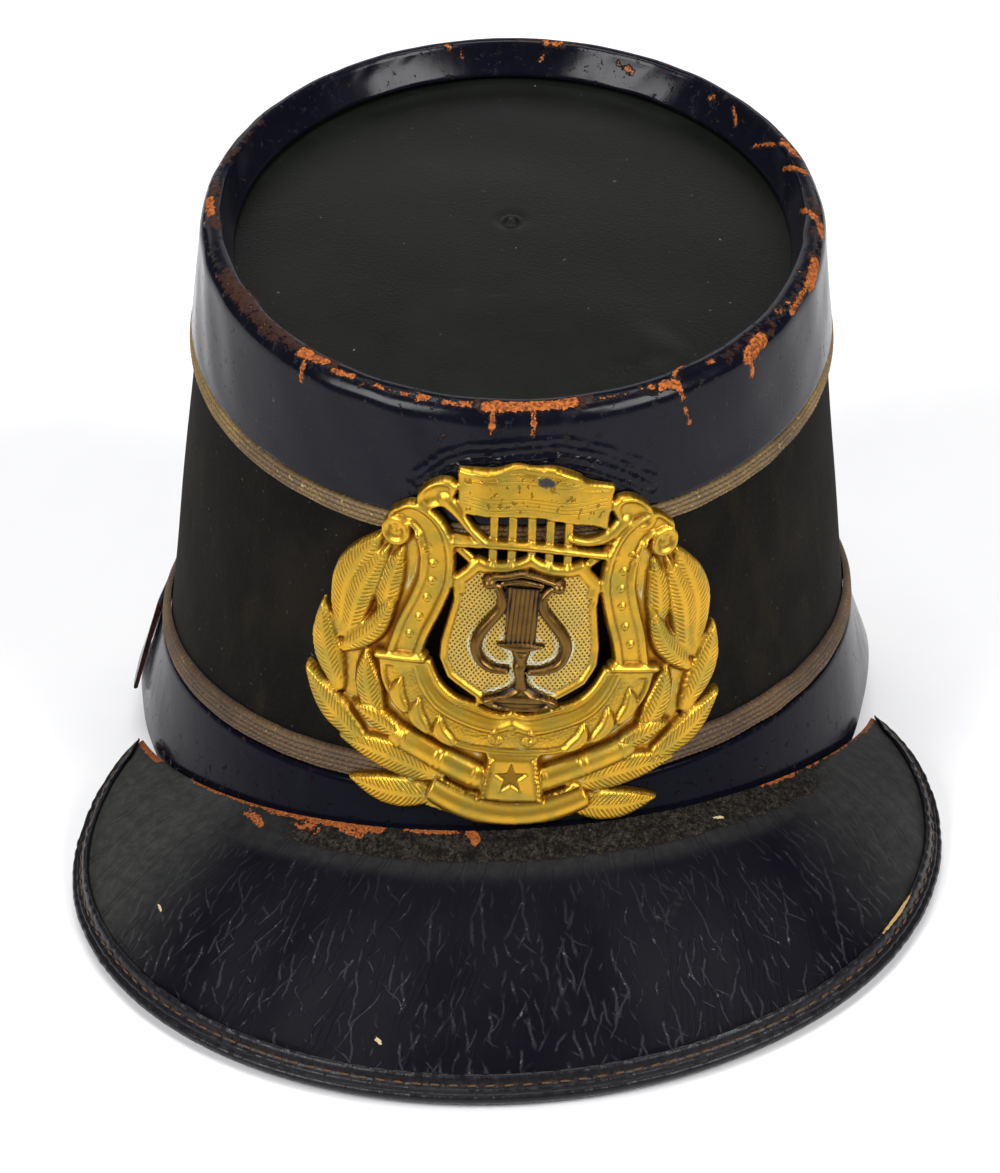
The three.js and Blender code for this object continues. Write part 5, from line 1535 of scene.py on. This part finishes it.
class ShakoLooks(bpy.types.PropertyGroup):
    """Sizes, colours and gloss of the hat's finishes, and the light on it"""

    felt_colour: colour_setting("Felt", "Colour of the unworn felt", "#0c0b09")
    top_colour: colour_setting("Leather top", "Colour of the sunken leather top", "#0c0e0b")
    patent_colour: colour_setting("Patent leather", "Colour under the lacquer of the bands", "#0c0c15")
    peak_colour: colour_setting("Peak", "Colour of the peak's varnish", "#0c0b12")
    binding_colour: colour_setting("Binding", "Colour of the folded binding", "#141317")
    brass_colour: colour_setting("Brass", "Colour of the polished brass", "#d0a033")
    patent_roughness: bpy.props.FloatProperty(name="Patent roughness", description="Roughness of clean lacquer",
                                              default=0.16, min=0.02, max=1.0, subtype="FACTOR")
    peak_roughness: bpy.props.FloatProperty(name="Peak roughness", description="Roughness of the peak's varnish",
                                            default=0.42, min=0.02, max=1.0, subtype="FACTOR")
    brass_roughness: bpy.props.FloatProperty(name="Brass roughness", description="Roughness of the rubbed brass",
                                             default=0.38, min=0.02, max=1.0, subtype="FACTOR")
    pip_height: bpy.props.FloatProperty(name="Pip height", description="Height of the pip on the top, in mm",
                                        default=0.9, min=0.0, max=1.5)
    strand_length: bpy.props.FloatProperty(name="Strand length", description="Length of one strand, in mm",
                                           default=1.5, min=0.8, max=4.0)
    stitch_pitch: bpy.props.FloatProperty(name="Stitch pitch", description="Distance between stitches, in mm",
                                          default=4.1, min=2.0, max=10.0)
    stitch_length: bpy.props.FloatProperty(name="Stitch length", description="Length of one stitch, in mm",
                                           default=2.3, min=1.0, max=6.0)
    lamp_power: bpy.props.FloatProperty(name="Lamp power", description="Power of each side lamp", default=48.0,
                                        min=0.0, unit="POWER")
    room_light: bpy.props.FloatProperty(name="Room light", description="Brightness of the room", default=0.05,
                                        min=0.0, max=4.0)


# One operator for each piece or group of like pieces

class SHAKO_OT_crown(bpy.types.Operator):
    """Builds the felt crown and its sunken leather top"""

    bl_idname = "shako.crown"
    bl_label = "Felt crown and leather top"

    def execute(self, context):
        build_felt_wall(context.scene.shako)
        build_leather_top(context.scene.shako)
        return {"FINISHED"}


class SHAKO_OT_bands(bpy.types.Operator):
    """Builds the two patent leather bands"""

    bl_idname = "shako.bands"
    bl_label = "Patent leather bands"

    def execute(self, context):
        build_top_band(context.scene.shako)
        build_lower_band(context.scene.shako)
        return {"FINISHED"}


class SHAKO_OT_braids(bpy.types.Operator):
    """Builds the two woven braids"""

    bl_idname = "shako.braids"
    bl_label = "Woven braids"

    def execute(self, context):
        build_braids(context.scene.shako)
        return {"FINISHED"}


class SHAKO_OT_peak(bpy.types.Operator):
    """Builds the peak, its folded binding and the stitches"""

    bl_idname = "shako.peak"
    bl_label = "Peak, binding and stitches"

    def execute(self, context):
        build_peak(context.scene.shako)
        build_binding(context.scene.shako)
        build_stitches(context.scene.shako)
        return {"FINISHED"}


class SHAKO_OT_badge(bpy.types.Operator):
    """Builds the struck brass badge and its small lyre"""

    bl_idname = "shako.badge"
    bl_label = "Brass badge"

    def execute(self, context):
        build_badge(context.scene.shako)
        return {"FINISHED"}


class SHAKO_OT_stage(bpy.types.Operator):
    """Builds the floor, the lights and the camera"""

    bl_idname = "shako.stage"
    bl_label = "Floor, lights and camera"

    def execute(self, context):
        build_stage(context.scene.shako)
        return {"FINISHED"}


class SHAKO_PT_panel(bpy.types.Panel):
    """Lists the hat's pieces in the sidebar"""

    bl_idname = "SHAKO_PT_panel"
    bl_label = "Shako hat"
    bl_space_type = "VIEW_3D"
    bl_region_type = "UI"
    bl_category = "Shako"

    def draw(self, context):
        for name in ShakoLooks.__annotations__:
            self.layout.prop(context.scene.shako, name)
        for operator in OPERATORS:
            self.layout.operator(operator.bl_idname)


OPERATORS = (SHAKO_OT_crown, SHAKO_OT_bands, SHAKO_OT_braids, SHAKO_OT_peak, SHAKO_OT_badge, SHAKO_OT_stage)


def register():
    for cls in (ShakoLooks, *OPERATORS, SHAKO_PT_panel):
        bpy.utils.register_class(cls)
    bpy.types.Scene.shako = bpy.props.PointerProperty(type=ShakoLooks)


def unregister():
    del bpy.types.Scene.shako
    for cls in (SHAKO_PT_panel, *reversed(OPERATORS), ShakoLooks):
        bpy.utils.unregister_class(cls)


def main():
    register()
    bpy.ops.shako.crown()
    bpy.ops.shako.bands()
    bpy.ops.shako.braids()
    bpy.ops.shako.peak()
    bpy.ops.shako.badge()
    bpy.ops.shako.stage()


if __name__ == "__main__":
    main()
